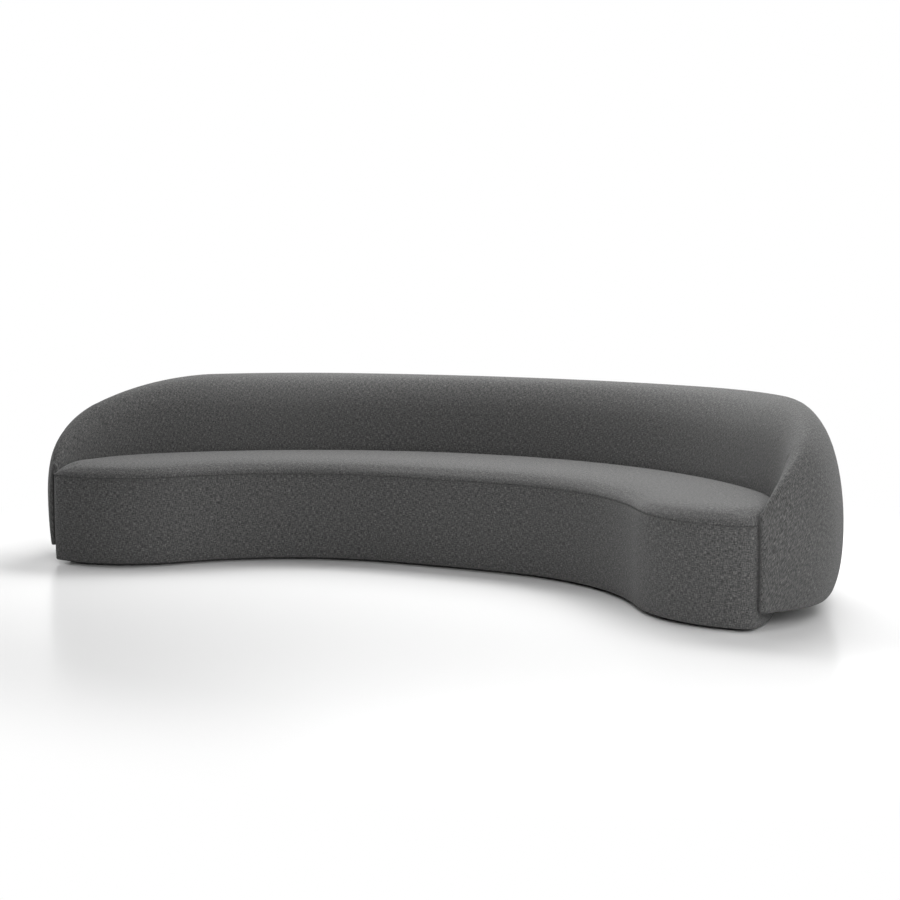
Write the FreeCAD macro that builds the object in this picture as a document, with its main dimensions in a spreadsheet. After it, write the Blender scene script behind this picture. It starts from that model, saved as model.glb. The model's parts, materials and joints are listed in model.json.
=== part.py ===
import FreeCAD, Part
import math
import os

from FreeCAD import Placement, Rotation, Vector

DOC = FreeCAD.newDocument("CurvedSofa")
SHEET = DOC.addObject("Spreadsheet::Sheet", "Sizes")

# Driving dimensions in millimetres and degrees.
# The plan is drawn from the front centre of the seat, +X to the right and +Y to the back.
SIZES = [
    ("front_centre_radius", 5440, "nearly flat middle of the seat front"),
    ("front_centre_turn", 2.9, "turn of the front from the middle to where it tightens"),
    ("hollow_radius", 942, "hollow of the seat front"),
    ("hollow_turn", 52.6, "turn of the hollow"),
    ("lobe_radius", 500, "rounded end lobe of the seat front"),
    ("lobe_turn", 67.4, "turn of the lobe up to the corner"),
    ("corner_radius", 30, "rounding of the seat's front corner"),
    ("end_heading", 81, "direction of the seat's end face behind the corner"),
    ("rear_split_heading", 131, "direction where the seat's side line becomes its rear line"),
    ("seat_depth", 565, "front centre of the seat to its rear line"),
    ("cover_bottom", 14, "underside of the seat cover above the floor"),
    ("seam_height", 368, "seam between the front band and the seat top"),
    ("edge_roll", 34, "rounding of the seat's front edge above the seam"),
    ("seat_rise", 50, "crown of the seat top above the seam"),
    ("crown_run", 130, "distance over which the seat top swells"),
    ("band_draw", 3, "how far the seam draws in the front band"),
    ("cover_thick", 3, "cover cloth with its wadding"),
    ("plinth_inset", 45, "cover face to plinth face"),
    ("plinth_width", 60, "plinth strip across"),
    ("corner_block_reach", 50, "corner blocks beyond the width of their boards"),
    ("glide_height", 3, "floor glide below the plinth"),
    ("glide_radius", 13, "floor glide"),
    ("base_panel_thick", 15, "bottom panel of the seat base"),
    ("base_panel_rim", 110, "solid rim of the bottom panel"),
    ("band_foam_thick", 25, "foam over the front board"),
    ("board_thick", 18, "plywood boards of the base"),
    ("deck_height", 285, "top of the deck ring that carries the springs"),
    ("deck_ring_thick", 15, "deck ring"),
    ("deck_ring_width", 85, "deck ring across"),
    ("stretcher_thick", 18, "cross boards of the base"),
    ("stretcher_hole_radius", 60, "lightening hole in a cross board"),
    ("cross_board_count", 3, "cross boards on each side of the middle one"),
    ("end_margin", 440, "last cross board and spring from the seat corner, along the rear line"),
    ("spring_count", 7, "springs on each side of the middle one"),
    ("fit_clearance", 0.2, "play between a spring and its clip"),
    ("spring_wire", 4, "sinuous spring wire"),
    ("spring_loop_radius", 11, "bend of the spring"),
    ("spring_straight", 28, "straight part of a spring loop"),
    ("spring_end_overlap", 22, "spring end lying on the deck ring"),
    ("felt_thick", 6, "insulator felt over the springs"),
    ("felt_rim", 40, "felt edge back from the cover face"),
    ("dust_cloth_thick", 1, "black cloth under the base"),
    ("back_depth", 890, "front centre of the seat to the rearmost point"),
    ("back_centre_turn", 16.8, "turn of the gently curved middle of the back"),
    ("back_side_turn", 69.2, "turn of the back at the sides"),
    ("arm_turn", 55.5, "turn of the arm towards its tip"),
    ("arm_radius", 407, "plan radius of the arm"),
    ("arm_reach", 22, "arm tip outside the seat's corner"),
    ("arm_setback", 18, "arm tip behind the seat's corner"),
    ("back_gap", 2, "slot between the seat unit and the back unit"),
    ("back_bottom", 69, "underside of the back unit above the floor"),
    ("back_height", 740, "top of the back"),
    ("arm_tip_height", 378, "top of the arm where it meets the seat corner"),
    ("arm_fall_length", 1072, "length over which the top falls to the arm tip"),
    ("belly_height", 287, "widest level of the back's outer face"),
    ("ridge_inset", 148, "top ridge in from the widest line"),
    ("tip_ridge_inset", 22, "the same at the arm tip"),
    ("foot_inset", 46, "bottom edge in from the widest line"),
    ("lip_radius", 13, "rounding of the arm's front edge"),
    ("back_foam_thick", 40, "foam over the back frame"),
    ("back_panel_thick", 4, "bent panel over the back frame"),
    ("frame_stop", 300, "back frame ends this far from the arm tip"),
    ("former_thick", 18, "upright formers of the back frame"),
    ("former_count", 3, "formers on each side of the middle one"),
    ("former_end_margin", 60, "last former back from the end of the back frame"),
    ("former_rim", 62, "width of wood round the opening in a former"),
    ("rail_width", 45, "rails of the back frame across"),
    ("rail_thick", 22, "rails of the back frame"),
    ("sill_thick", 18, "bottom board of the back frame"),
    ("top_rail_drop", 18, "top rail below the crest of the panel"),
    ("frame_clearance", 0.4, "play between the wooden frame and its panels"),
    ("bolt_radius", 4, "bolts that join the back unit to the seat unit"),
    ("bolt_clearance", 0.5, "bolt hole radius beyond the bolt's"),
    ("bolt_height", 150, "height of the joining bolts"),
    ("bolt_count", 3, "joining bolts on each side of the middle"),
    ("washer_thick", 1.6, "washers under the heads and nuts"),
    ("nut_recess", 1, "slack between the rail and the washer under a nut"),
]
for row, (alias, value, meaning) in enumerate(SIZES, start=1):
    SHEET.set("A%d" % row, alias)
    SHEET.set("B%d" % row, str(value))
    SHEET.set("C%d" % row, meaning)
    SHEET.setAlias("B%d" % row, alias)
DOC.recompute()


def size(alias):
    """A driving dimension, read from the sheet."""
    return float(SHEET.get(alias))


def turn(alias):
    """A driving angle, in radians."""
    return math.radians(size(alias))


def along(heading):
    """Unit vector of a heading in plan; a heading of 0 runs along +X."""
    return Vector(math.cos(heading), math.sin(heading), 0)


def left_of(heading):
    """Unit vector a quarter turn to the left of a heading."""
    return Vector(-math.sin(heading), math.cos(heading), 0)


def solve_pair(first, second, target):
    """The two lengths that make first and second add up to target in plan."""
    area = first.x * second.y - first.y * second.x
    one = (target.x * second.y - target.y * second.x) / area
    two = (first.x * target.y - first.y * target.x) / area
    return one, two


# Plan of the seat: a chain of tangent arcs from the front centre to the corner and round the rear.
HALF_TURN = math.pi
FRONT_TURN = -turn("front_centre_turn")
HOLLOW_TURN = FRONT_TURN - turn("hollow_turn")
CORNER_TURN = HOLLOW_TURN + turn("lobe_turn")
END_TURN = turn("end_heading")
SPLIT_TURN = turn("rear_split_heading")

FRONT_RADIUS = size("front_centre_radius")
HOLLOW_RADIUS = size("hollow_radius")
LOBE_RADIUS = size("lobe_radius")
front_centre = Vector(0, -FRONT_RADIUS, 0)
front_joint = front_centre + left_of(FRONT_TURN) * FRONT_RADIUS
hollow_centre = front_joint - left_of(FRONT_TURN) * HOLLOW_RADIUS
hollow_joint = hollow_centre + left_of(HOLLOW_TURN) * HOLLOW_RADIUS
lobe_centre = hollow_joint + left_of(HOLLOW_TURN) * LOBE_RADIUS
corner = lobe_centre - left_of(CORNER_TURN) * LOBE_RADIUS

# The side arc and the rear arc follow from the corner and the seat's depth.
SIDE_RADIUS, REAR_RADIUS = solve_pair(
    left_of(END_TURN) - left_of(SPLIT_TURN),
    left_of(SPLIT_TURN) - left_of(HALF_TURN),
    Vector(0, size("seat_depth"), 0) - corner,
)
side_centre = corner + left_of(END_TURN) * SIDE_RADIUS
rear_centre = Vector(0, size("seat_depth") - REAR_RADIUS, 0)

# The origin lies under the middle of the sofa, so the plan is moved forward by this much.
Y_SHIFT = -(lobe_centre.y - LOBE_RADIUS + size("back_depth")) / 2
for centre in (front_centre, hollow_centre, lobe_centre, corner, side_centre, rear_centre):
    centre.y += Y_SHIFT

# Plan of the back's widest line: three arcs from the rearmost point to the arm tip.
# The two longer radii follow from where the tip stands beside the seat's corner.
BACK_TURNS = [0, -turn("back_centre_turn")]
BACK_TURNS.append(BACK_TURNS[-1] - turn("back_side_turn"))
BACK_TURNS.append(BACK_TURNS[-1] - turn("arm_turn"))
back_start = Vector(0, size("back_depth") + Y_SHIFT, 0)
arm_tip = corner - left_of(END_TURN) * size("arm_reach") + along(END_TURN) * size("arm_setback")
BACK_STEPS = [left_of(BACK_TURNS[i + 1]) - left_of(BACK_TURNS[i]) for i in range(3)]
ARM_RADIUS = size("arm_radius")
BACK_RADIUS, BACK_SIDE_RADIUS = solve_pair(
    BACK_STEPS[0], BACK_STEPS[1], arm_tip - back_start - BACK_STEPS[2] * ARM_RADIUS
)
BACK_RADII = [BACK_RADIUS, BACK_SIDE_RADIUS, ARM_RADIUS]
BACK_LENGTHS = [BACK_RADII[i] * (BACK_TURNS[i] - BACK_TURNS[i + 1]) for i in range(3)]
BACK_LENGTH = sum(BACK_LENGTHS)


def circle_point(centre, radius, towards):
    """The point of a circle in the direction of another point."""
    return centre + (towards - centre).normalize() * radius


def arc_edge(centre, radius, start, end):
    """The shorter arc of a circle from start to end, both at the same height."""
    middle = (start + end) * 0.5
    return Part.Arc(start, circle_point(centre, radius, middle), end).toShape()


def mirrored(point):
    """The same point on the left half."""
    return Vector(-point.x, point.y, point.z)


def mirrored_run(arcs):
    """The same run of arcs on the left half, in the order that continues the run."""
    return [(mirrored(c), r, mirrored(q), mirrored(p)) for c, r, p, q in reversed(arcs)]


CORNER_RADIUS = size("corner_radius")
COVER = size("cover_thick")
DRAW = size("band_draw")
NOSE_GROWTH = 0.2


def nose_radius(inset):
    """Radius of the corner at an inset; it opens as the outline moves in."""
    return CORNER_RADIUS + NOSE_GROWTH * inset


def corner_fillet(front_inset, rear_inset, radius):
    """Centre and end points of the arc that rounds the corner of the seat's outline."""
    lobe = LOBE_RADIUS - front_inset
    side = SIDE_RADIUS - rear_inset
    span = side_centre - lobe_centre
    reach = (lobe - radius, side - radius)
    offset = (span.Length**2 + reach[0] ** 2 - reach[1] ** 2) / (2 * span.Length)
    height = math.sqrt(reach[0] ** 2 - offset**2)
    axis = Vector(span).normalize()
    across = Vector(axis.y, -axis.x, 0)
    options = [lobe_centre + axis * offset + across * (height * sign) for sign in (1, -1)]
    centre = min(options, key=lambda point: point.distanceToPoint(corner))
    return (
        centre,
        lobe_centre + (centre - lobe_centre).normalize() * lobe,
        side_centre + (centre - side_centre).normalize() * side,
    )


def seat_ring(inset, height=0, rear_inset=None):
    """Closed outline of the seat, moved in from the cover face, as tangent arcs."""
    rear = inset if rear_inset is None else rear_inset
    up = Vector(0, 0, height)
    radius = nose_radius(inset)
    right_joint = front_centre + left_of(FRONT_TURN) * (FRONT_RADIUS + inset)
    left_joint = mirrored(right_joint)
    hollow_end = hollow_centre + left_of(HOLLOW_TURN) * (HOLLOW_RADIUS + inset)
    fillet_centre, lobe_end, side_start = corner_fillet(inset, rear, radius)
    side_end = side_centre - left_of(SPLIT_TURN) * (SIDE_RADIUS - rear)
    half = [
        (hollow_centre, HOLLOW_RADIUS + inset, right_joint, hollow_end),
        (lobe_centre, LOBE_RADIUS - inset, hollow_end, lobe_end),
        (fillet_centre, radius, lobe_end, side_start),
        (side_centre, SIDE_RADIUS - rear, side_start, side_end),
    ]
    pieces = [(front_centre, FRONT_RADIUS + inset, left_joint, right_joint)]
    pieces += half
    pieces.append((rear_centre, REAR_RADIUS - rear, side_end, mirrored(side_end)))
    pieces += mirrored_run(half)
    return Part.Wire([arc_edge(c + up, r, p + up, q + up) for c, r, p, q in pieces])


# Helpers that make document objects bound to the sheet.
PARTS = []


def keep(label, obj):
    """Name an object as a sub-part of the sofa."""
    obj.Label = label
    PARTS.append(obj)
    return obj


def shape_object(name, shape):
    """An object whose shape this file sets."""
    obj = DOC.addObject("Part::Feature", name)
    obj.Shape = shape
    return obj


def prism(name, wire, bottom, height):
    """A flat outline raised to a solid; bottom and height are sheet expressions."""
    outline = shape_object(name + "_outline", wire)
    obj = DOC.addObject("Part::Extrusion", name)
    obj.Base = outline
    obj.DirMode = "Custom"
    obj.Dir = Vector(0, 0, 1)
    obj.Solid = True
    obj.setExpression("LengthFwd", height)
    obj.setExpression("Placement.Base.z", bottom)
    return obj


def cut(name, base, tool):
    """One solid with another taken out of it."""
    obj = DOC.addObject("Part::Cut", name)
    obj.Base = base
    obj.Tool = tool
    return obj


def common(name, first, second):
    """The space that two solids share."""
    obj = DOC.addObject("Part::MultiCommon", name)
    obj.Shapes = [first, second]
    return obj


def group(name, shapes):
    """Several separate solids in one object."""
    return shape_object(name, Part.makeCompound(shapes))


# Levels that several pieces share, as sheet expressions.
PANEL_BOTTOM = "Sizes.cover_bottom + Sizes.cover_thick"
BOARD_BOTTOM = PANEL_BOTTOM + " + Sizes.base_panel_thick"
DECK_BOTTOM = "Sizes.deck_height - Sizes.deck_ring_thick"
BOARD_HEIGHT = DECK_BOTTOM + " - (" + BOARD_BOTTOM + ")"
DUST_BOTTOM = PANEL_BOTTOM + " - Sizes.dust_cloth_thick"
PLINTH_HEIGHT = DUST_BOTTOM + " - Sizes.glide_height"
FELT_BOTTOM = "Sizes.deck_height + 2 * Sizes.spring_wire"

# Insets from the cover face. The wood stands clear of the cover where its foot is drawn in.
WOOD_REAR = COVER + DRAW
WOOD_FRONT = WOOD_REAR + size("band_foam_thick")
BOARD = size("board_thick")
PLINTH_INSET = size("plinth_inset")
PLINTH_INNER = PLINTH_INSET + size("plinth_width")


def front_line(inset, pivot):
    """Arcs of the seat front from the left corner to the right corner."""
    joint = front_centre + left_of(FRONT_TURN) * (FRONT_RADIUS + inset)
    hollow_end = hollow_centre + left_of(HOLLOW_TURN) * (HOLLOW_RADIUS + inset)
    end = circle_point(lobe_centre, LOBE_RADIUS - inset, pivot)
    right = [
        (hollow_centre, HOLLOW_RADIUS + inset, joint, hollow_end),
        (lobe_centre, LOBE_RADIUS - inset, hollow_end, end),
    ]
    middle = [(front_centre, FRONT_RADIUS + inset, mirrored(joint), joint)]
    return mirrored_run(right) + middle + right


def rear_line(inset, pivot):
    """Arcs of the seat rear from the right corner to the left corner."""
    start = circle_point(side_centre, SIDE_RADIUS - inset, pivot)
    joint = side_centre - left_of(SPLIT_TURN) * (SIDE_RADIUS - inset)
    right = [(side_centre, SIDE_RADIUS - inset, start, joint)]
    middle = [(rear_centre, REAR_RADIUS - inset, joint, mirrored(joint))]
    return right + middle + mirrored_run(right)


def line_edge(start, end):
    """A straight edge."""
    return Part.LineSegment(start, end).toShape()


def strip_wire(outer, inner):
    """Closed outline between two runs of arcs that share their end lines."""
    edges = [arc_edge(*arc) for arc in outer]
    edges.append(line_edge(outer[-1][3], inner[-1][3]))
    edges += [arc_edge(c, r, q, p) for c, r, p, q in reversed(inner)]
    edges.append(line_edge(inner[0][2], outer[0][2]))
    return Part.Wire(edges)


def corner_wire(front, rear, width, pivot, sign):
    """Outline of the bent block that joins a front board and a rear board at a corner."""
    radius = nose_radius(front)
    centre, lobe_end, side_start = corner_fillet(front, rear, radius)
    inner = corner_fillet(front + width, rear + width, 0)[0]
    lobe_radius = LOBE_RADIUS - front
    side_radius = SIDE_RADIUS - rear
    front_end = circle_point(lobe_centre, lobe_radius, pivot)
    rear_end = circle_point(side_centre, side_radius, pivot)
    front_inner = circle_point(lobe_centre, lobe_radius - width, pivot)
    rear_inner = circle_point(side_centre, side_radius - width, pivot)
    outer_arcs = [
        (lobe_centre, lobe_radius, front_end, lobe_end),
        (centre, radius, lobe_end, side_start),
        (side_centre, side_radius, side_start, rear_end),
    ]
    inner_arcs = [
        (side_centre, side_radius - width, rear_inner, inner),
        (lobe_centre, lobe_radius - width, inner, front_inner),
    ]
    edges = [arc_edge(*arc) for arc in outer_arcs]
    edges.append(line_edge(rear_end, rear_inner))
    edges += [arc_edge(*arc) for arc in inner_arcs]
    edges.append(line_edge(front_inner, front_end))
    wire = Part.Wire(edges)
    return wire if sign > 0 else wire.mirror(Vector(0, 0, 0), Vector(1, 0, 0))


SIDES = (("left", -1), ("right", 1))


def ring_boards(name, front, rear, width, bottom, height):
    """A front board, a rear board and two corner blocks that close a ring."""
    reach = width + size("corner_block_reach")
    pivot = corner_fillet(front + reach, rear + reach, 0)[0]
    wires = [
        ("front_" + name, strip_wire(front_line(front, pivot), front_line(front + width, pivot))),
        ("rear_" + name, strip_wire(rear_line(rear, pivot), rear_line(rear + width, pivot))),
    ]
    for side, sign in SIDES:
        wire = corner_wire(front, rear, width, pivot, sign)
        wires.append(("%s_%s_corner" % (side, name), wire))
    return {label: prism(label + "_blank", wire, bottom, height) for label, wire in wires}


# Seat unit: plinth strips and the glides under them.
plinth = ring_boards(
    "plinth_strip", PLINTH_INSET, PLINTH_INSET, size("plinth_width"),
    "Sizes.glide_height", PLINTH_HEIGHT,
)
for label, obj in plinth.items():
    keep(label, obj)

PLINTH_MIDDLE = (PLINTH_INSET + PLINTH_INNER) / 2
GLIDE_SPOTS = [
    hollow_centre + left_of((FRONT_TURN + HOLLOW_TURN) / 2) * (HOLLOW_RADIUS + PLINTH_MIDDLE),
    lobe_centre - left_of(0) * (LOBE_RADIUS - PLINTH_MIDDLE),
    side_centre - left_of((END_TURN + SPLIT_TURN) / 2) * (SIDE_RADIUS - PLINTH_MIDDLE),
    rear_centre - left_of((SPLIT_TURN + HALF_TURN) / 2) * (REAR_RADIUS - PLINTH_MIDDLE),
]
glides = []
for spot in GLIDE_SPOTS + [mirrored(spot) for spot in GLIDE_SPOTS]:
    glides.append(Part.makeCylinder(size("glide_radius"), size("glide_height"), spot))
keep("floor_glides", group("floor_glides", glides))

# Seat unit: bottom panel with its opening, and the dust cloth that closes it from below.
panel_blank = prism("panel_blank", seat_ring(WOOD_REAR), PANEL_BOTTOM, "Sizes.base_panel_thick")
panel_opening = prism(
    "panel_opening", seat_ring(size("base_panel_rim")), PANEL_BOTTOM, "Sizes.base_panel_thick"
)
keep("base_panel", cut("base_panel", panel_blank, panel_opening))
keep("dust_cloth", prism("dust_cloth", seat_ring(PLINTH_INSET), DUST_BOTTOM, "Sizes.dust_cloth_thick"))

# Seat unit: upright boards under a flat deck ring.
boards = ring_boards("board", WOOD_FRONT, WOOD_REAR, BOARD, BOARD_BOTTOM, BOARD_HEIGHT)
DECK_WIDTH = size("deck_ring_width")
deck_blank = prism(
    "deck_blank", seat_ring(WOOD_FRONT, rear_inset=WOOD_REAR), DECK_BOTTOM, "Sizes.deck_ring_thick"
)
deck_opening = prism(
    "deck_opening", seat_ring(WOOD_FRONT + DECK_WIDTH, rear_inset=WOOD_REAR + DECK_WIDTH),
    DECK_BOTTOM, "Sizes.deck_ring_thick",
)
keep("deck_ring", cut("deck_ring", deck_blank, deck_opening))

# Lengths along the seat's rear line, from its middle to the corner.
REAR_HALF = REAR_RADIUS * (HALF_TURN - SPLIT_TURN)
REAR_LENGTH = REAR_HALF + SIDE_RADIUS * (SPLIT_TURN - END_TURN)
LAST_STATION = REAR_LENGTH - size("end_margin")


def rear_station(distance):
    """Point on the seat's rear line and its inward direction, by distance from the middle."""
    run = abs(distance)
    if run <= REAR_HALF:
        heading = HALF_TURN - run / REAR_RADIUS
        point = rear_centre - left_of(heading) * REAR_RADIUS
    else:
        heading = SPLIT_TURN - (run - REAR_HALF) / SIDE_RADIUS
        point = side_centre - left_of(heading) * SIDE_RADIUS
    inward = left_of(heading)
    if distance < 0:
        return mirrored(point), mirrored(inward)
    return point, inward


def yaw_of(direction):
    """Rotation that turns the X axis to a direction in plan."""
    return Rotation(Vector(0, 0, 1), math.degrees(math.atan2(direction.y, direction.x)))


seat_front = Part.Wire([arc_edge(*arc) for arc in front_line(0, corner)])


def seat_reach(point, direction):
    """Depth of the seat from a point on its rear line, straight inward."""
    probe = line_edge(point, point + direction * BACK_LENGTH)
    return probe.distToShape(seat_front)[1][0][0].distanceToPoint(point)


def spread(count, last):
    """Numbered stations from one end to the other, with one in the middle."""
    return [(step + count + 1, last * step / count) for step in range(-count, count + 1)]


# Seat unit: cross boards between the front and rear boards, each with a lightening hole.
STRETCHER = size("stretcher_thick")
inner_wire = seat_ring(WOOD_FRONT + BOARD, rear_inset=WOOD_REAR + BOARD)
inner_space = prism("inner_space", inner_wire, BOARD_BOTTOM, BOARD_HEIGHT)
for number, distance in spread(int(size("cross_board_count")), LAST_STATION):
    point, inward = rear_station(distance)
    depth = seat_reach(point, inward)
    half_step = Vector(-inward.y, inward.x, 0) * (STRETCHER / 2)
    plank = DOC.addObject("Part::Box", "plank")
    plank.Length = depth
    plank.setExpression("Width", "Sizes.stretcher_thick")
    plank.setExpression("Height", BOARD_HEIGHT)
    plank.Placement = Placement(point - half_step, yaw_of(inward))
    plank.setExpression("Placement.Base.z", BOARD_BOTTOM)
    hole = DOC.addObject("Part::Cylinder", "hole")
    hole.setExpression("Radius", "Sizes.stretcher_hole_radius")
    hole.setExpression("Height", "2 * Sizes.stretcher_thick")
    hole_axis = Rotation(Vector(0, 0, 1), half_step)
    hole.Placement = Placement(point + inward * (depth / 2) - half_step * 2, hole_axis)
    hole.setExpression("Placement.Base.z", "%s + (%s) / 2" % (BOARD_BOTTOM, BOARD_HEIGHT))
    trimmed = common("trimmed_plank", plank, inner_space)
    keep("cross_board_%d" % number, cut("cross_board", trimmed, hole))

# Seat unit: sinuous springs from the front of the deck ring to its rear, with their clips.
WIRE = size("spring_wire")
LOOP = size("spring_loop_radius")
STRAIGHT = size("spring_straight")
OVERLAP = size("spring_end_overlap")
DECK = size("deck_height")


def spring_solid(start, direction, count):
    """Zigzag wire in one plane: straights across the spring joined by half turns."""
    across = Vector(-direction.y, direction.x, 0)
    position = start - across * (STRAIGHT / 2)
    edges = []
    for number in range(count + 1):
        sense = 1 if number % 2 == 0 else -1
        far = position + across * (STRAIGHT * sense)
        edges.append(line_edge(position, far))
        if number < count:
            bend = far + direction * LOOP + across * (LOOP * sense)
            position = far + direction * (2 * LOOP)
            edges.append(Part.Arc(far, bend, position).toShape())
    ring = Part.Wire([Part.Circle(edges[0].Vertexes[0].Point, across, WIRE / 2).toShape()])
    return Part.Wire(edges).makePipeShell([ring], True, False)


def clip_solid():
    """Clip over the end run of a spring, open along the wire."""
    length = 4 * WIRE
    width = STRAIGHT / 2
    blank = Part.makeBox(length, width, 2 * WIRE - 1, Vector(-length / 2, -width / 2, 0))
    groove = Part.makeCylinder(
        WIRE / 2 + size("fit_clearance"), width, Vector(0, -width / 2, WIRE / 2), Vector(0, 1, 0)
    )
    return blank.cut(groove)


clips = []
for number, distance in spread(int(size("spring_count")), LAST_STATION):
    point, inward = rear_station(distance)
    start = WOOD_REAR + DECK_WIDTH - OVERLAP
    span = seat_reach(point, inward) - WOOD_FRONT - DECK_WIDTH + OVERLAP - start
    count = int(span // (2 * LOOP))
    start += (span - count * 2 * LOOP) / 2
    first = point + inward * start + Vector(0, 0, DECK + WIRE / 2)
    keep("seat_spring_%d" % number, shape_object("seat_spring", spring_solid(first, inward, count)))
    for reach in (start, start + count * 2 * LOOP):
        clip = clip_solid()
        clip.Placement = Placement(point + inward * reach + Vector(0, 0, DECK), yaw_of(inward))
        clips.append(clip)
keep("spring_clips", group("spring_clips", clips))
keep("insulator_felt", prism("insulator_felt", seat_ring(size("felt_rim")), FELT_BOTTOM, "Sizes.felt_thick"))

# Seat unit: foam and covers, as lofts through outlines that step in and up.
SEAM = size("seam_height")
SEAT_CROWN = SEAM + size("seat_rise")
BOTTOM = size("cover_bottom")
ROLL = size("edge_roll")
ROLL_STEPS = 4
CROWN_STEPS = 3
REAR_SHARE = 0.12
FOAM_LEVEL = DECK + 2 * WIRE + size("felt_thick")
FOAM_FOOT = BOTTOM + COVER + size("base_panel_thick")


def ring_loft(rings):
    """Solid between outlines stacked at their heights."""
    wires = [seat_ring(front, height, rear) for front, rear, height in rings]
    return Part.makeLoft(wires, True, True)


def seat_profile(skin):
    """Outlines over the seat's rolled edge and crown: front inset, rear inset and height."""
    rings = [(DRAW, SEAM)]
    for step in range(1, ROLL_STEPS + 1):
        angle = math.pi / 2 * step / ROLL_STEPS
        rings.append((DRAW + ROLL * (1 - math.cos(angle)), SEAM + ROLL * math.sin(angle)))
    rise = SEAT_CROWN - SEAM - ROLL
    for step in range(1, CROWN_STEPS + 1):
        part = step / CROWN_STEPS
        height = SEAM + ROLL + rise * math.sin(math.pi / 2 * part)
        rings.append((DRAW + ROLL + size("crown_run") * part, height))
    profile = []
    for inset, height in rings:
        lowered = height - skin * min(1, (height - SEAM) / ROLL)
        profile.append((inset + skin, DRAW + (inset - DRAW) * REAR_SHARE + skin, lowered))
    return profile


def band_profile(skin):
    """Outlines of the front band, drawn in at its seam and its foot."""
    third = (SEAM - BOTTOM) / 3
    rings = [(DRAW, BOTTOM), (0, BOTTOM + third), (0, SEAM - third), (DRAW, SEAM)]
    return [(inset + skin, inset + skin, height) for inset, height in rings]


def slab(inset, bottom, top, rear_inset=None):
    """Everything inside an outline between two heights."""
    face = Part.Face(seat_ring(inset, bottom, rear_inset))
    return face.extrude(Vector(0, 0, top - bottom))


top_outer = ring_loft(seat_profile(0))
top_inner = ring_loft(seat_profile(COVER))
keep("seat_top_cover", shape_object("seat_top_cover", top_outer.cut(top_inner)))

band_outer = ring_loft(band_profile(0))
band_inner = ring_loft(band_profile(COVER))
band_hollow = band_inner.common(slab(-COVER, BOTTOM + COVER, SEAM))
band_cloth = band_outer.cut(band_hollow).cut(slab(PLINTH_INSET, BOTTOM, BOTTOM + COVER))
band_blank = shape_object("band_blank", band_cloth)

seat_core = top_inner.fuse(band_inner.common(slab(-COVER, FOAM_LEVEL, SEAM)))
keep("seat_foam", shape_object("seat_foam", seat_core.removeSplitter()))

band_slice = band_inner.common(slab(-COVER, FOAM_FOOT, FOAM_LEVEL))
band_foam = band_slice.cut(slab(WOOD_FRONT, FOAM_FOOT, FOAM_LEVEL, -COVER))
keep("band_foam", shape_object("band_foam", band_foam))

# Back unit: one closed section that is swept from arm tip to arm tip.
BACK_BOTTOM = size("back_bottom")
GAP = size("back_gap")
FALL_POWER = 1.71
FALL_ROOT = 1.7
TIP_SEAT_SHARE = 0.07
HIDDEN_SHARE = 0.85
RIDGE_LIMIT = 0.6
BEND_ACROSS = 0.54
BEND_DOWN = 0.18
FACE_SWELL = 0.03


def belly_at(distance):
    """Point of the back's widest line and its heading, by distance from the rearmost point."""
    point = Vector(back_start)
    for index in range(3):
        start = BACK_TURNS[index]
        radius = BACK_RADII[index]
        centre = point - left_of(start) * radius
        if distance <= BACK_LENGTHS[index] or index == 2:
            heading = start - distance / radius
            return centre + left_of(heading) * radius, heading
        point = centre + left_of(BACK_TURNS[index + 1]) * radius
        distance -= BACK_LENGTHS[index]


def circle_hit(point, direction, centre, radius):
    """First distance at which a ray from outside a circle meets it."""
    offset = point - centre
    lean = offset.dot(direction)
    return -lean - math.sqrt(max(lean**2 - offset.dot(offset) + radius**2, 0))


def back_width(point, inward):
    """Thickness of the back at its foot, from the widest line to the slot beside the seat."""
    reach = circle_hit(point, inward, rear_centre, REAR_RADIUS + GAP)
    split = side_centre.x - left_of(SPLIT_TURN).x * (SIDE_RADIUS + GAP)
    if (point + inward * reach).x > split:
        reach = circle_hit(point, inward, side_centre, SIDE_RADIUS + GAP)
    return reach


class Section:
    """Sizes of the back's cross-section at one station."""

    def __init__(self, distance):
        fall = size("arm_fall_length")
        run = min(1, max(0, (distance - BACK_LENGTH + fall) / fall))
        self.point, heading = belly_at(distance)
        self.forward = along(heading)
        self.inward = -left_of(heading)
        self.width = back_width(self.point, self.inward)
        tip = size("arm_tip_height")
        drop = (1 - run**FALL_POWER) ** (1 / FALL_ROOT)
        self.top = tip + (size("back_height") - tip) * drop
        tip_ridge = size("tip_ridge_inset")
        ridge = tip_ridge + (size("ridge_inset") - tip_ridge) * math.sqrt(1 - run**2)
        self.ridge = min(ridge, RIDGE_LIMIT * self.width)
        self.belly = min(size("belly_height"), (self.top + BACK_BOTTOM) / 2)
        self.foot = size("foot_inset") * self.ridge / size("ridge_inset")
        self.seat = min(SEAT_CROWN, self.top - TIP_SEAT_SHARE * (self.top - BACK_BOTTOM))

    def place(self, inward, height, side=1, shift=0):
        """Point of the section's plane, by distance in from the widest line and height."""
        point = self.point + self.inward * inward + self.forward * shift
        return Vector(side * point.x, point.y, height)


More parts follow.
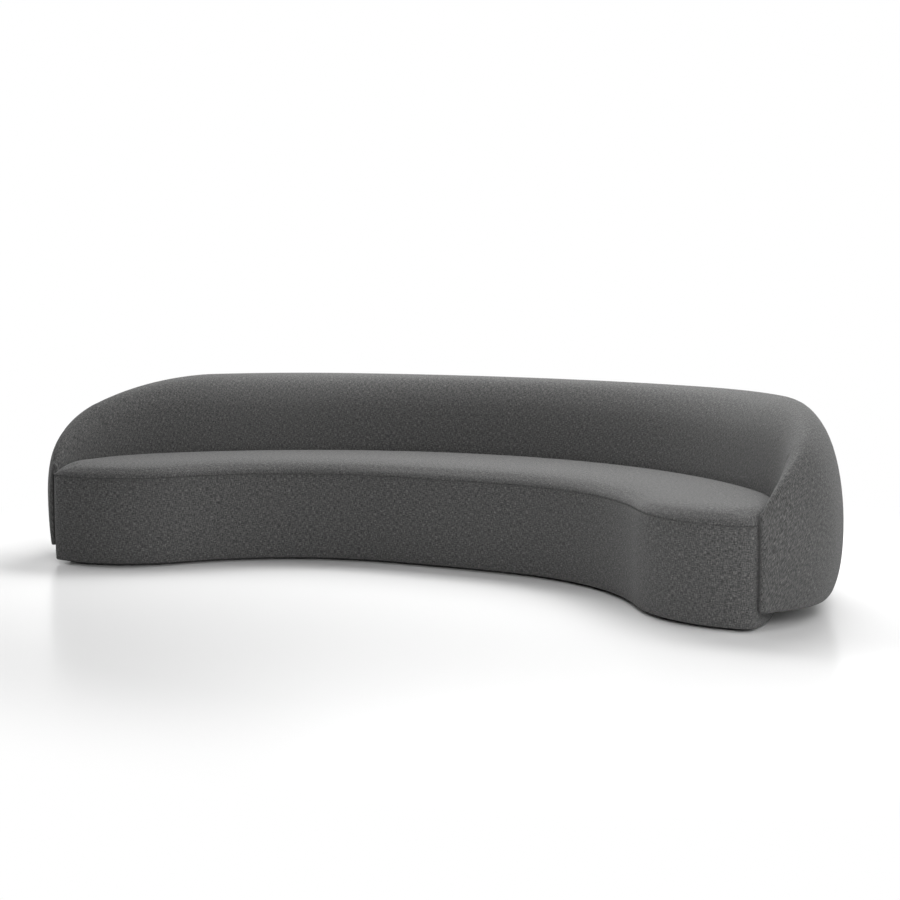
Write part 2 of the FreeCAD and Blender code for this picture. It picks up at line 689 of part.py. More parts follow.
def section_wire(section, face, low, side, shift=0, lift=0):
    """Closed section, moved in by face where it is padded and by low beside the seat.

    Lift raises its underside.
    """

    def place(inward, height):
        return section.place(inward, height, side, shift)

    base = BACK_BOTTOM + low + lift
    top = section.top - face
    foot = section.foot + face
    hidden = section.width - low
    shown = section.width - face
    shoulder = BACK_BOTTOM + HIDDEN_SHARE * (section.seat - BACK_BOTTOM)
    run = shown - section.ridge
    bend = (section.ridge + BEND_ACROSS * run, top - BEND_DOWN * (top - section.seat))
    swell = ((bend[0] + shown) / 2 + FACE_SWELL * run, (bend[1] + section.seat) / 2)

    def foot_curve(share):
        angle = math.pi / 2 * share
        inward = foot - (foot - face) * math.sin(angle)
        return place(inward, section.belly - (section.belly - base) * math.cos(angle))

    def outer_curve(share):
        angle = math.pi / 2 * share
        inward = section.ridge - (section.ridge - face) * math.cos(angle)
        return place(inward, section.belly + (top - section.belly) * math.sin(angle))

    def crest_curve(share):
        angle = math.pi / 2 * share
        inward = section.ridge + (bend[0] - section.ridge) * math.sin(angle)
        return place(inward, top - (top - bend[1]) * (1 - math.cos(angle)))

    edges = [
        Part.LineSegment(place(hidden, base), place(hidden, shoulder)),
        Part.LineSegment(place(hidden, shoulder), place(shown, section.seat)),
        Part.Arc(place(shown, section.seat), place(*swell), place(*bend)),
        Part.Arc(crest_curve(1), crest_curve(0.5), crest_curve(0)),
        Part.Arc(outer_curve(1), outer_curve(0.75), outer_curve(0.5)),
        Part.Arc(outer_curve(0.5), outer_curve(0.25), outer_curve(0)),
        Part.Arc(foot_curve(1), foot_curve(0.75), foot_curve(0.5)),
        Part.Arc(foot_curve(0.5), foot_curve(0.25), foot_curve(0)),
        Part.LineSegment(foot_curve(0), place(hidden, base)),
    ]
    return Part.Wire([edge.toShape() for edge in edges])


LEVEL_STATIONS = 5
FALL_STATIONS = 9
LIP_STEPS = (0.25, 0.55, 0.85)


def stations(stop):
    """Distances from the middle to an end station, closer together towards the arm tip."""
    fall = size("arm_fall_length")
    level = BACK_LENGTH - fall
    places = [level * step / LEVEL_STATIONS for step in range(LEVEL_STATIONS)]
    for step in range(FALL_STATIONS + 1):
        place = level + fall * math.sin(math.pi / 2 * step / FALL_STATIONS)
        if place < stop - fall / FALL_STATIONS / 4:
            places.append(place)
    return places + [stop]


def mirrored_loft(half):
    """Solid through wires from the left end to the right; half makes one wire for a side."""
    wires = [make(-1) for make in reversed(half[1:])] + [make(1) for make in half]
    return Part.makeLoft(wires, True, True)


def back_loft(face, low, stop, lip=0):
    """The back's form inside its cover face; lip rounds the arm's front edge."""
    rows = [(Section(place), face, low, 0) for place in stations(stop)]
    if lip > 0:
        for step in LIP_STEPS:
            angle = math.pi / 2 * step
            drawn = lip * (1 - math.cos(angle))
            rows.append((rows[-1][0], face + drawn, low + drawn, lip * math.sin(angle)))
    half = [lambda side, row=row: section_wire(row[0], row[1], row[2], side, row[3]) for row in rows]
    return mirrored_loft(half)


LIP = size("lip_radius")
back_skin = back_loft(0, 0, BACK_LENGTH - LIP, LIP)
foam_skin = back_loft(COVER, COVER, BACK_LENGTH - LIP, LIP - COVER)
back_cloth = shape_object("back_cloth", back_skin.cut(foam_skin))

PANEL = size("back_panel_thick")
PANEL_INSET = COVER + size("back_foam_thick")
FRAME_INSET = PANEL_INSET + PANEL
FRAME_LOW = COVER + PANEL
FRAME_END = BACK_LENGTH - size("frame_stop")
panel_form = back_loft(PANEL_INSET, COVER, FRAME_END)
keep("back_foam", shape_object("back_foam", foam_skin.cut(panel_form)))
cavity = back_loft(FRAME_INSET, FRAME_LOW, FRAME_END - PANEL)
panel_shell = shape_object("panel_shell", panel_form.cut(cavity))

# Back unit: rails that run from arm to arm inside the panels, a little proud of the formers.
PLAY = size("frame_clearance")
RAIL_PLAY = PLAY / 2
RAIL_WIDTH = size("rail_width")
RAIL_THICK = size("rail_thick")
FRAME_BASE = BACK_BOTTOM + FRAME_LOW
SILL_TOP = FRAME_BASE + size("sill_thick")
BOLT_LEVEL = size("bolt_height")


def rail(name, low_corner, high_corner):
    """A bent rail; the corners are functions that give a section's inward place and height."""

    def make(section, side):
        near, bottom = low_corner(section)
        far, top = high_corner(section)
        corners = [(near, bottom), (far, bottom), (far, top), (near, top), (near, bottom)]
        return Part.makePolygon([section.place(n, z, side) for n, z in corners])

    sections = [Section(place) for place in stations(FRAME_END - PANEL)]
    half = [lambda side, section=section: make(section, side) for section in sections]
    return shape_object(name + "_blank", mirrored_loft(half))


def crest(section):
    """Height of the top of the top rail."""
    return section.top - FRAME_INSET - size("top_rail_drop")


def hidden_face(section):
    """Inward place of the frame's face beside the seat."""
    return section.width - FRAME_LOW - RAIL_PLAY


rails = {
    "top_rail": rail(
        "top_rail",
        lambda s: (s.ridge - RAIL_WIDTH / 2, crest(s) - RAIL_THICK),
        lambda s: (s.ridge + RAIL_WIDTH / 2, crest(s)),
    ),
    "outer_rail": rail(
        "outer_rail",
        lambda s: (FRAME_INSET + RAIL_PLAY, s.belly - RAIL_WIDTH / 2),
        lambda s: (FRAME_INSET + RAIL_PLAY + RAIL_THICK, s.belly + RAIL_WIDTH / 2),
    ),
    "sill": rail(
        "sill",
        lambda s: (s.foot + FRAME_INSET + RAIL_PLAY, FRAME_BASE),
        lambda s: (hidden_face(s), SILL_TOP),
    ),
}

# The rail beside the seat runs parallel to the seat's rear line.
SIDE_RAIL_FACE = -(GAP + FRAME_LOW + RAIL_PLAY)
last_section = Section(FRAME_END - RAIL_WIDTH)
side_rail_end = last_section.place(hidden_face(last_section), 0)
side_rail_wire = strip_wire(
    rear_line(SIDE_RAIL_FACE, side_rail_end), rear_line(SIDE_RAIL_FACE - RAIL_THICK, side_rail_end)
)
rails["seat_side_rail"] = prism(
    "side_rail_blank", side_rail_wire, "Sizes.bolt_height - Sizes.rail_width / 2", "Sizes.rail_width"
)

# Back unit: upright formers on the sill, notched for the rails.
FORMER = size("former_thick")
FORMER_RIM = size("former_rim")
FORMER_LAST = FRAME_END - size("former_end_margin")


def former_loft(distance, side, extra):
    """Slice of the frame's form at a station, moved in by extra all round.

    The middle one is square to the rear line, so it has the same section on both faces.
    """
    wires = []
    for step in (-FORMER / 2, FORMER / 2):
        place, shift = (distance + step, 0) if distance > 0 else (0, step)
        inset = (FRAME_INSET + extra, FRAME_LOW + extra)
        wires.append(section_wire(Section(place), *inset, side, shift, size("sill_thick")))
    return Part.makeLoft(wires, True, True)


DOC.recompute()
notches = [obj.Shape for obj in rails.values()]
for number, distance in spread(int(size("former_count")), FORMER_LAST):
    side = -1 if distance < 0 else 1
    former = former_loft(abs(distance), side, PLAY)
    if Section(abs(distance)).ridge > FRAME_INSET + FORMER_RIM + FORMER:
        former = former.cut(former_loft(abs(distance), side, FORMER_RIM))
    keep("back_former_%d" % number, shape_object("back_former", former.cut(notches)))

# Bolts that join the two units, with washers and nuts, and the holes that they pass through.
BOLT = size("bolt_radius")
HEAD_RADIUS = BOLT * 1.6
HEAD_HEIGHT = BOLT * 1.3
WASHER_RADIUS = BOLT * 2.5
WASHER = size("washer_thick")
HOLE = BOLT + size("bolt_clearance")
bolts = []
washers = []
nuts = []
holes = []


def across(radius, length, reach, frame):
    """Cylinder along a bolt's axis, from a distance outside the seat's rear line."""
    solid = Part.makeCylinder(radius, length, Vector(reach, 0, 0), Vector(1, 0, 0))
    solid.Placement = frame
    return solid


def hexagon(length, reach, frame):
    """Six-sided head or nut along a bolt's axis."""
    points = []
    for step in range(7):
        angle = math.pi / 3 * step
        points.append(Vector(reach, HEAD_RADIUS * math.cos(angle), HEAD_RADIUS * math.sin(angle)))
    solid = Part.Face(Part.makePolygon(points)).extrude(Vector(length, 0, 0))
    solid.Placement = frame
    return solid


BOARD_FACE = -(WOOD_REAR + BOARD)
RAIL_FACE = GAP + FRAME_LOW + RAIL_THICK + size("nut_recess")
bolt_pitch = LAST_STATION / size("bolt_count")
for step in range(int(size("bolt_count"))):
    for side in (-1, 1):
        point, inward = rear_station(side * bolt_pitch * (step + 0.5))
        frame = Placement(point + Vector(0, 0, BOLT_LEVEL), yaw_of(-inward))
        under_head = BOARD_FACE - WASHER
        shank_end = RAIL_FACE + WASHER + 2 * HEAD_HEIGHT
        shank = across(BOLT, shank_end - under_head, under_head, frame)
        bolts.append(shank.fuse(hexagon(HEAD_HEIGHT, under_head - HEAD_HEIGHT, frame)))
        nut = hexagon(HEAD_HEIGHT, RAIL_FACE + WASHER, frame)
        nuts.append(nut.cut(across(BOLT, shank_end, 0, frame)))
        for reach in (under_head, RAIL_FACE):
            disc = across(WASHER_RADIUS, WASHER, reach, frame)
            washers.append(disc.cut(across(BOLT, shank_end * 4, -shank_end * 2, frame)))
        holes.append(across(HOLE, shank_end * 4, -shank_end * 2, frame))
keep("joining_bolts", group("joining_bolts", bolts))
keep("joining_washers", group("joining_washers", washers))
keep("joining_nuts", group("joining_nuts", nuts))
bolt_holes = group("bolt_holes", holes)
drilled = [
    ("band_cover", band_blank),
    ("back_cover", back_cloth),
    ("back_panel", panel_shell),
    ("seat_side_rail", rails["seat_side_rail"]),
    ("rear_board", boards["rear_board"]),
]
for label, blank in drilled:
    keep(label, cut(label, blank, bolt_holes))
for label in ("front_board", "left_board_corner", "right_board_corner"):
    keep(label, boards[label])
for label in ("top_rail", "outer_rail", "sill"):
    keep(label, rails[label])

# Every object is checked before anything is written.
DOC.recompute()
faults = [obj.Label for obj in DOC.Objects if "Invalid" in obj.State or "Error" in obj.State]
faults += [obj.Label for obj in PARTS if obj.Shape.isNull() or not obj.Shape.isValid()]
faults += [obj.Label for obj in PARTS if not obj.Shape.Solids]
if faults:
    raise RuntimeError("objects that failed: " + ", ".join(faults))
os.makedirs("parts", exist_ok=True)
for obj in PARTS:
    obj.Shape.exportStep("parts/%s.step" % obj.Label)
    print("%s: %d solids, %.0f cm3" % (obj.Label, len(obj.Shape.Solids), obj.Shape.Volume / 1000))
print("%d sub-parts" % len(PARTS))
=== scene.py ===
"""Looks of a curved sofa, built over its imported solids.

Every size is in metres, in the frame of the solids: +X to the right end, +Y to the back, +Z up,
with the floor at zero under the middle of the sofa.
"""

import json
import logging
import math
from dataclasses import dataclass
from enum import Enum
from functools import cached_property
from typing import Any

import bmesh
import bpy
import numpy as np
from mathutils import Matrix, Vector

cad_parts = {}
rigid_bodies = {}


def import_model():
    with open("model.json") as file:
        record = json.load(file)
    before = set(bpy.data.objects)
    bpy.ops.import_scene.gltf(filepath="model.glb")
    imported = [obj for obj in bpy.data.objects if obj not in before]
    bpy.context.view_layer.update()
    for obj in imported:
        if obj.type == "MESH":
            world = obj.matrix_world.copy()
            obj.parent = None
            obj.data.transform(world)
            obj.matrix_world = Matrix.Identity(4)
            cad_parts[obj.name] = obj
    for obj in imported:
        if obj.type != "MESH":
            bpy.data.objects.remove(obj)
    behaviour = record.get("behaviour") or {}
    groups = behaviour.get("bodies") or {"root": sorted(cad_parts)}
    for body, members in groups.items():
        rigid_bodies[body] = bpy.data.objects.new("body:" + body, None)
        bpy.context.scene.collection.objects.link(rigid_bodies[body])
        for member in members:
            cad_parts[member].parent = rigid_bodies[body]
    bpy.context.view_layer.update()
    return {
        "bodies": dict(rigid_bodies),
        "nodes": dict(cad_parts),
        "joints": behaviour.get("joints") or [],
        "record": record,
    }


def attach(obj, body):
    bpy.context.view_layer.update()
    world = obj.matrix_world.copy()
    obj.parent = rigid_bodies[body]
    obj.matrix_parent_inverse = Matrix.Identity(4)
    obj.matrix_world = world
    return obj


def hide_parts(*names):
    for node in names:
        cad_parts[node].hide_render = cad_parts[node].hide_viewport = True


LOG = logging.getLogger("curved_sofa")
Array = np.ndarray

# Sizes that the seat unit and the back unit share. The foam starts 1 mm under the cover.
COVER = 0.003
FOAM_SKIN = COVER + 0.001
SEAT_CROWN = 0.418

WHITE = (1.0, 1.0, 1.0, 1.0)

# Keeps a division from failing where a length is zero.
TINY = 1e-9


def left_of(heading: Array | float) -> Array:
    """Unit vectors a quarter turn to the left of plan headings.

    Args:
        heading: Plan directions in radians, 0 along +X.

    Returns:
        One vector per heading, with X and Y in the last axis.
    """
    return np.stack([-np.sin(heading), np.cos(heading)], axis=-1)


def heading_of(outward: Array) -> float:
    """Heading of a left-turning arc where its outward direction is the given one."""
    return math.atan2(outward[0], -outward[1])


def solve_pair(first: Array, second: Array, target: Array) -> tuple[float, float]:
    """The two lengths that make first and second add up to target in plan."""
    one, two = np.linalg.solve(np.column_stack([first, second]), target)
    return float(one), float(two)


def run_lengths(line: Array) -> Array:
    """Distance from the start of a line of points to each of its points.

    Args:
        line: Points, one per row.

    Returns:
        Distances that start at zero.
    """
    steps = np.linalg.norm(np.diff(line, axis=0), axis=1)
    return np.concatenate([[0.0], np.cumsum(steps)])


def resample(line: Array, shares: Array) -> Array:
    """Points of a line at shares of its length.

    Args:
        line: Points, one per row.
        shares: Where the new points lie, from 0 at the start to 1 at the end.

    Returns:
        One point per share.
    """
    lengths = run_lengths(line)
    places = shares * lengths[-1]
    return np.stack([np.interp(places, lengths, line[:, axis]) for axis in range(2)], axis=-1)


def distance_to_line(points: Array, line: Array) -> Array:
    """Shortest distance in plan from points to a line of points.

    Args:
        points: Plan points, one per row.
        line: Points of the line, one per row.

    Returns:
        One distance per point.
    """
    start, span = line[:-1], np.diff(line, axis=0)
    best = np.full(len(points), np.inf)
    for begin, step in zip(start, span):
        offset = points - begin
        share = np.clip(offset @ step / (step @ step), 0, 1)
        gap = np.linalg.norm(offset - share[:, None] * step, axis=1)
        best = np.minimum(best, gap)
    return best


def arc_points(centre: Array, radius: float, start: float, stop: float, samples: int) -> Array:
    """Points of a plan arc, without its last one, which starts the next arc.

    Args:
        centre: Centre of the arc.
        radius: Its radius.
        start: Heading at its start.
        stop: Heading at its end.
        samples: Number of points.

    Returns:
        One point per row.
    """
    headings = np.linspace(start, stop, samples + 1)[:-1]
    bend = 1.0 if stop > start else -1.0
    return centre - bend * radius * left_of(headings)


@dataclass(frozen=True)
class SeatPlan:
    """Plan of the seat: tangent arcs from the front centre to the corner and round the rear."""

    front_radius: float = 5.440
    front_turn: float = math.radians(2.9)
    hollow_radius: float = 0.942
    hollow_turn: float = math.radians(52.6)
    lobe_radius: float = 0.500
    lobe_turn: float = math.radians(67.4)
    corner_radius: float = 0.030
    corner_growth: float = 0.2
    end_heading: float = math.radians(81)
    split_heading: float = math.radians(131)
    depth: float = 0.565
    sofa_depth: float = 0.890
    front_samples: int = 12
    hollow_samples: int = 44
    lobe_samples: int = 40
    corner_samples: int = 12
    side_samples: int = 32
    rear_samples: int = 64

    @cached_property
    def shift(self) -> float:
        """How far the plan moves so that the origin lies under the middle of the sofa."""
        lowest = self._from_front(0.0)["lobe"][1] - self.lobe_radius
        return -(lowest + self.sofa_depth) / 2

    def _from_front(self, shift: float) -> dict[str, Array]:
        """Arc centres and the corner, from the front centre moved by a shift."""
        front_end, hollow_end = -self.front_turn, -self.front_turn - self.hollow_turn
        corner_heading = hollow_end + self.lobe_turn
        front = np.array([0.0, shift - self.front_radius])
        joint = front + left_of(front_end) * self.front_radius
        hollow = joint - left_of(front_end) * self.hollow_radius
        lobe = hollow + left_of(hollow_end) * (self.hollow_radius + self.lobe_radius)
        corner = lobe - left_of(corner_heading) * self.lobe_radius
        return {"front": front, "hollow": hollow, "lobe": lobe, "corner": corner}

    @cached_property
    def centres(self) -> dict[str, Array]:
        """Centres of all the plan's arcs, and the corner."""
        found = self._from_front(self.shift)
        side_radius, rear_radius = self.rear_radii
        found["side"] = found["corner"] + left_of(self.end_heading) * side_radius
        found["rear"] = np.array([0.0, self.shift + self.depth - rear_radius])
        return found

    @cached_property
    def rear_radii(self) -> tuple[float, float]:
        """Radii of the side arc and the rear arc, which follow from the corner and the depth."""
        corner = self._from_front(self.shift)["corner"]
        split = left_of(self.split_heading)
        target = np.array([0.0, self.shift + self.depth]) - corner
        return solve_pair(left_of(self.end_heading) - split, split - left_of(math.pi), target)

    def corner_fillet(self, inset: float, rear_inset: float) -> tuple[Array, float, float, float]:
        """The arc that rounds the corner of the outline.

        Args:
            inset: How far the front line is moved in.
            rear_inset: How far the side line is moved in.

        Returns:
            Centre, radius, start heading and stop heading.
        """
        radius = self.corner_radius + self.corner_growth * inset
        lobe, side = self.centres["lobe"], self.centres["side"]
        reach = (self.lobe_radius - inset - radius, self.rear_radii[0] - rear_inset - radius)
        span = side - lobe
        length = float(np.linalg.norm(span))
        offset = (length**2 + reach[0] ** 2 - reach[1] ** 2) / (2 * length)
        height = math.sqrt(reach[0] ** 2 - offset**2)
        axis = span / length
        across = np.array([axis[1], -axis[0]])
        options = [lobe + axis * offset + across * height * sign for sign in (1, -1)]
        centre = min(options, key=lambda point: np.linalg.norm(point - self.centres["corner"]))
        return centre, radius, heading_of(centre - lobe), heading_of(centre - side)

    def half(self, inset: float, rear_inset: float | None = None) -> Array:
        """Right half of the outline, from the front middle to the rear middle.

        Args:
            inset: How far the outline is moved in from the cover face.
            rear_inset: The same for the side and rear arcs, where it differs.

        Returns:
            Points in plan, both ends included.
        """
        rear_inset = inset if rear_inset is None else rear_inset
        front_end, hollow_end = -self.front_turn, -self.front_turn - self.hollow_turn
        side_radius, rear_radius = self.rear_radii
        centre, radius, lobe_end, side_start = self.corner_fillet(inset, rear_inset)
        at = self.centres
        split, rear = self.split_heading, rear_radius - rear_inset
        arcs = [
            (at["front"], self.front_radius + inset, 0.0, front_end, self.front_samples),
            (at["hollow"], self.hollow_radius + inset, front_end, hollow_end, self.hollow_samples),
            (at["lobe"], self.lobe_radius - inset, hollow_end, lobe_end, self.lobe_samples),
            (centre, radius, lobe_end, side_start, self.corner_samples),
            (at["side"], side_radius - rear_inset, side_start, split, self.side_samples),
            (at["rear"], rear, split, math.pi, self.rear_samples),
        ]
        last = at["rear"] - left_of(math.pi) * rear
        return np.concatenate([arc_points(*arc) for arc in arcs] + [last[None]])

    def ring(self, inset: float, rear_inset: float | None = None) -> Array:
        """The whole outline, anticlockwise from the front middle, without a repeated end."""
        right = self.half(inset, rear_inset)
        left = right[-2:0:-1] * [-1, 1]
        return np.concatenate([right, left])

    def runs(self, inset: float, shares: Array) -> tuple[Array, Array]:
        """Matching points of the front line and the rear line, from the left nose to the right.

        Args:
            inset: How far the outline is moved in.
            shares: Shares of the right half of each line, from 0 in the middle to 1 at the nose.

        Returns:
            The front points and the rear points.
        """
        right = self.half(inset)
        nose = self.front_samples + self.hollow_samples + self.lobe_samples
        nose += self.corner_samples // 2
        lines = []
        for line in (right[: nose + 1], right[nose:][::-1]):
            half = resample(line, shares)
            lines.append(np.concatenate([half[:0:-1] * [-1, 1], half]))
        return lines[0], lines[1]


@dataclass(frozen=True)
class BackPlan:
    """Plan of the back's widest line and the sizes of its cross-section."""

    seat: SeatPlan
    centre_turn: float = math.radians(16.8)
    side_turn: float = math.radians(69.2)
    arm_turn: float = math.radians(55.5)
    arm_radius: float = 0.407
    arm_reach: float = 0.022
    arm_setback: float = 0.018
    gap: float = 0.002
    bottom: float = 0.069
    height: float = 0.740
    tip_height: float = 0.378
    fall_length: float = 1.072
    fall_power: float = 1.71
    fall_root: float = 1.7
    belly_height: float = 0.287
    ridge_inset: float = 0.148
    tip_ridge_inset: float = 0.022
    ridge_limit: float = 0.6
    foot_inset: float = 0.046
    tip_seat_share: float = 0.07
    hidden_share: float = 0.85

    @cached_property
    def start(self) -> Array:
        """The rearmost point of the widest line."""
        return np.array([0.0, self.seat.sofa_depth + self.seat.shift])

    @cached_property
    def headings(self) -> list[float]:
        """Headings at the joints of the three arcs."""
        turns = np.cumsum([0.0, self.centre_turn, self.side_turn, self.arm_turn])
        return [-float(turn) for turn in turns]

    @cached_property
    def radii(self) -> list[float]:
        """Radii of the three arcs; the first two follow from where the arm tip stands."""
        end = self.seat.end_heading
        forward = np.array([math.cos(end), math.sin(end)])
        tip = self.seat.centres["corner"] + forward * self.arm_setback
        tip = tip - left_of(end) * self.arm_reach
        steps = [left_of(b) - left_of(a) for a, b in zip(self.headings, self.headings[1:])]
        pair = solve_pair(steps[0], steps[1], tip - self.start - steps[2] * self.arm_radius)
        return [*pair, self.arm_radius]

    @cached_property
    def lengths(self) -> list[float]:
        """Lengths of the three arcs."""
        turns = (self.centre_turn, self.side_turn, self.arm_turn)
        return [radius * turn for radius, turn in zip(self.radii, turns)]

    @property
    def length(self) -> float:
        """Length of the widest line from the rearmost point to the arm tip."""
        return sum(self.lengths)

    def station(self, distance: float) -> tuple[Array, Array, Array]:
        """Point of the widest line at a distance from its middle, with its directions.

        Args:
            distance: Distance along the line, from the rearmost point.

        Returns:
            The point, the forward direction and the inward direction.
        """
        point = self.start
        for index, radius in enumerate(self.radii):
            begin = self.headings[index]
            centre = point - left_of(begin) * radius
            if distance <= self.lengths[index] or index == 2:
                break
            point = centre + left_of(self.headings[index + 1]) * radius
            distance -= self.lengths[index]
        heading = begin - distance / radius
        forward = np.array([math.cos(heading), math.sin(heading)])
        return centre + left_of(heading) * radius, forward, -left_of(heading)

    def width_at(self, point: Array, inward: Array) -> float:
        """Thickness of the back at its foot, from the widest line to the slot beside the seat."""
        side_radius, rear_radius = self.seat.rear_radii
        side, rear = self.seat.centres["side"], self.seat.centres["rear"]
        split = side[0] - left_of(self.seat.split_heading)[0] * (side_radius + self.gap)
        reach = self._circle_hit(point, inward, rear, rear_radius + self.gap)
        if (point + inward * reach)[0] > split:
            reach = self._circle_hit(point, inward, side, side_radius + self.gap)
        return reach

    @staticmethod
    def _circle_hit(point: Array, direction: Array, centre: Array, radius: float) -> float:
        """First distance at which a ray from outside a circle meets it."""
        offset = point - centre
        lean = float(offset @ direction)
        return -lean - math.sqrt(max(lean**2 - float(offset @ offset) + radius**2, 0.0))


@dataclass(frozen=True)
class BackSection:
    """Cross-section of the back at one station: a crowned shell that leans over the seat."""

    plan: BackPlan
    distance: float
    face_pull: float = 0.70
    face_lean: float = 0.18
    face_rise: float = 0.45
    foot_round: float = 0.010
    foot_cut: float = 0.35
    hidden_points: int = 5
    face_points: int = 24
    outer_points: int = 16
    foot_points: int = 14
    base_points: int = 5

    @cached_property
    def sizes(self) -> dict[str, float]:
        """Width and heights that change along the back."""
        plan = self.plan
        fall = plan.fall_length
        run = min(1.0, max(0.0, (self.distance - plan.length + fall) / fall))
        point, _, inward = plan.station(self.distance)
        width = plan.width_at(point, inward)
        drop = (1 - run**plan.fall_power) ** (1 / plan.fall_root)
        top = plan.tip_height + (plan.height - plan.tip_height) * drop
        spread = plan.ridge_inset - plan.tip_ridge_inset
        ridge = plan.tip_ridge_inset + spread * math.sqrt(1 - run**2)
        ridge = min(ridge, plan.ridge_limit * width)
        return {
            "width": width,
            "top": top,
            "ridge": ridge,
            "belly": min(plan.belly_height, (top + plan.bottom) / 2),
            "foot": plan.foot_inset * ridge / plan.ridge_inset,
            "seat": min(SEAT_CROWN, top - plan.tip_seat_share * (top - plan.bottom)),
        }

    def loop(self, face: float = 0.0, low: float = 0.0) -> Array:
        """Closed outline of the section.

        Args:
            face: How far the padded faces are moved in.
            low: How far the underside and the face beside the seat are moved in.

        Returns:
            Rows of distance in from the widest line and height, from the bottom of the face
            beside the seat, up over the crest and down the outer face.
        """
        plan, at = self.plan, self.sizes
        base, top = plan.bottom + low, at["top"] - face
        foot, hidden, shown = at["foot"] + face, at["width"] - low, at["width"] - face
        shoulder = plan.bottom + plan.hidden_share * (at["seat"] - plan.bottom)
        inner = np.linspace([hidden, base], [hidden, shoulder], self.hidden_points)
        run, rise = shown - at["ridge"], top - at["seat"]
        t = np.linspace(0, 1, self.face_points)[:, None]
        corners = [
            np.array([shown, at["seat"]]),
            np.array([shown - self.face_lean * run, at["seat"] + self.face_rise * rise]),
            np.array([at["ridge"] + self.face_pull * run, top]),
            np.array([at["ridge"], top]),
        ]
        weights = [(1 - t) ** 3, 3 * t * (1 - t) ** 2, 3 * t**2 * (1 - t), t**3]
        front = sum(weight * corner for weight, corner in zip(weights, corners))
        angle = np.linspace(math.pi / 2, 0, self.outer_points + 1)[1:]
        outer = np.column_stack(
            [
                at["ridge"] - (at["ridge"] - face) * np.cos(angle),
                at["belly"] + (top - at["belly"]) * np.sin(angle),
            ]
        )
        angle = np.linspace(math.pi / 2, 0, self.foot_points + 1)[1:]
        low_outer = np.column_stack(
            [
                foot - (foot - face) * np.sin(angle),
                at["belly"] - (at["belly"] - base) * np.cos(angle),
            ]
        )
        cut = self.foot_round * self.foot_cut
        low_outer[-1] += [0.0, cut]
        rounded = np.array([[foot + cut, base]])
        end = [foot + self.foot_round, base]
        under = np.linspace(end, [hidden, base], self.base_points + 1)[:-1]
        return np.concatenate([inner, front, outer, low_outer, rounded, under])

    @property
    def crest_index(self) -> int:
        """Row of the loop that lies on the crest."""
        return self.hidden_points + self.face_points - 1

    def points(self, face: float = 0.0, low: float = 0.0, shift: float = 0.0) -> Array:
        """The outline in space, on the right half.

        Args:
            face: How far the padded faces are moved in.
            low: How far the underside and the face beside the seat are moved in.
            shift: How far the section stands forward of its station.

        Returns:
            Points of the closed outline.
        """
        point, forward, inward = self.plan.station(self.distance)
        loop = self.loop(face, low)
        plan_points = point + forward * shift + loop[:, :1] * inward
        return np.concatenate([plan_points, loop[:, 1:]], axis=1)


def grid_object(
    name: str, points: Array, uv: Array, wrap_rows: bool = False, wrap_columns: bool = False
) -> bpy.types.Object:
    """A mesh object from a grid of points.

    Args:
        name: Name of the object.
        points: Grid of points, rows by columns by 3.
        uv: Pattern coordinates in metres, one row or column more where that way is closed.
        wrap_rows: Whether the last row joins the first.
        wrap_columns: Whether the last column joins the first.

    Returns:
        The linked object, with its pattern coordinates.
    """
    rows, columns = points.shape[:2]
    row, column = np.meshgrid(
        np.arange(rows - 1 + wrap_rows), np.arange(columns - 1 + wrap_columns), indexing="ij"
    )
    corners = [(row, column), (row, column + 1), (row + 1, column + 1), (row + 1, column)]
    faces = np.stack([(r % rows) * columns + c % columns for r, c in corners], axis=-1)
    loops = np.stack([uv[r, c] for r, c in corners], axis=-2)
    mesh = bpy.data.meshes.new(name)
    mesh.from_pydata(points.reshape(-1, 3).tolist(), [], faces.reshape(-1, 4).tolist())
    layer = mesh.uv_layers.new(name="Weave")
    layer.data.foreach_set("uv", loops.reshape(-1).astype(np.float32))
    obj = bpy.data.objects.new(name, mesh)
    bpy.context.scene.collection.objects.link(obj)
    return obj


def clean_mesh(obj: bpy.types.Object, cap_ends: bool = False, merge: float = 2e-5) -> None:
    """Merge doubles, close open ends where asked, turn the faces outwards and smooth them.

    Args:
        obj: The mesh object.
        cap_ends: Whether open loops of edges are filled.
        merge: Distance under which points are one.
    """
    work = bmesh.new()
    work.from_mesh(obj.data)
    bmesh.ops.remove_doubles(work, verts=work.verts, dist=merge)
    bmesh.ops.dissolve_degenerate(work, edges=work.edges, dist=merge)
    if cap_ends:
        open_edges = [edge for edge in work.edges if edge.is_boundary]
        filled = bmesh.ops.holes_fill(work, edges=open_edges, sides=0)
        bmesh.ops.triangulate(work, faces=filled["faces"])
    bmesh.ops.recalc_face_normals(work, faces=work.faces)
    for face in work.faces:
        face.smooth = True
    work.to_mesh(obj.data)
    work.free()
    obj.data.update()


def read_points(mesh: bpy.types.Mesh) -> Array:
    """Points of a mesh, one per row."""
    flat = np.zeros(len(mesh.vertices) * 3)
    mesh.vertices.foreach_get("co", flat)
    return flat.reshape(-1, 3)


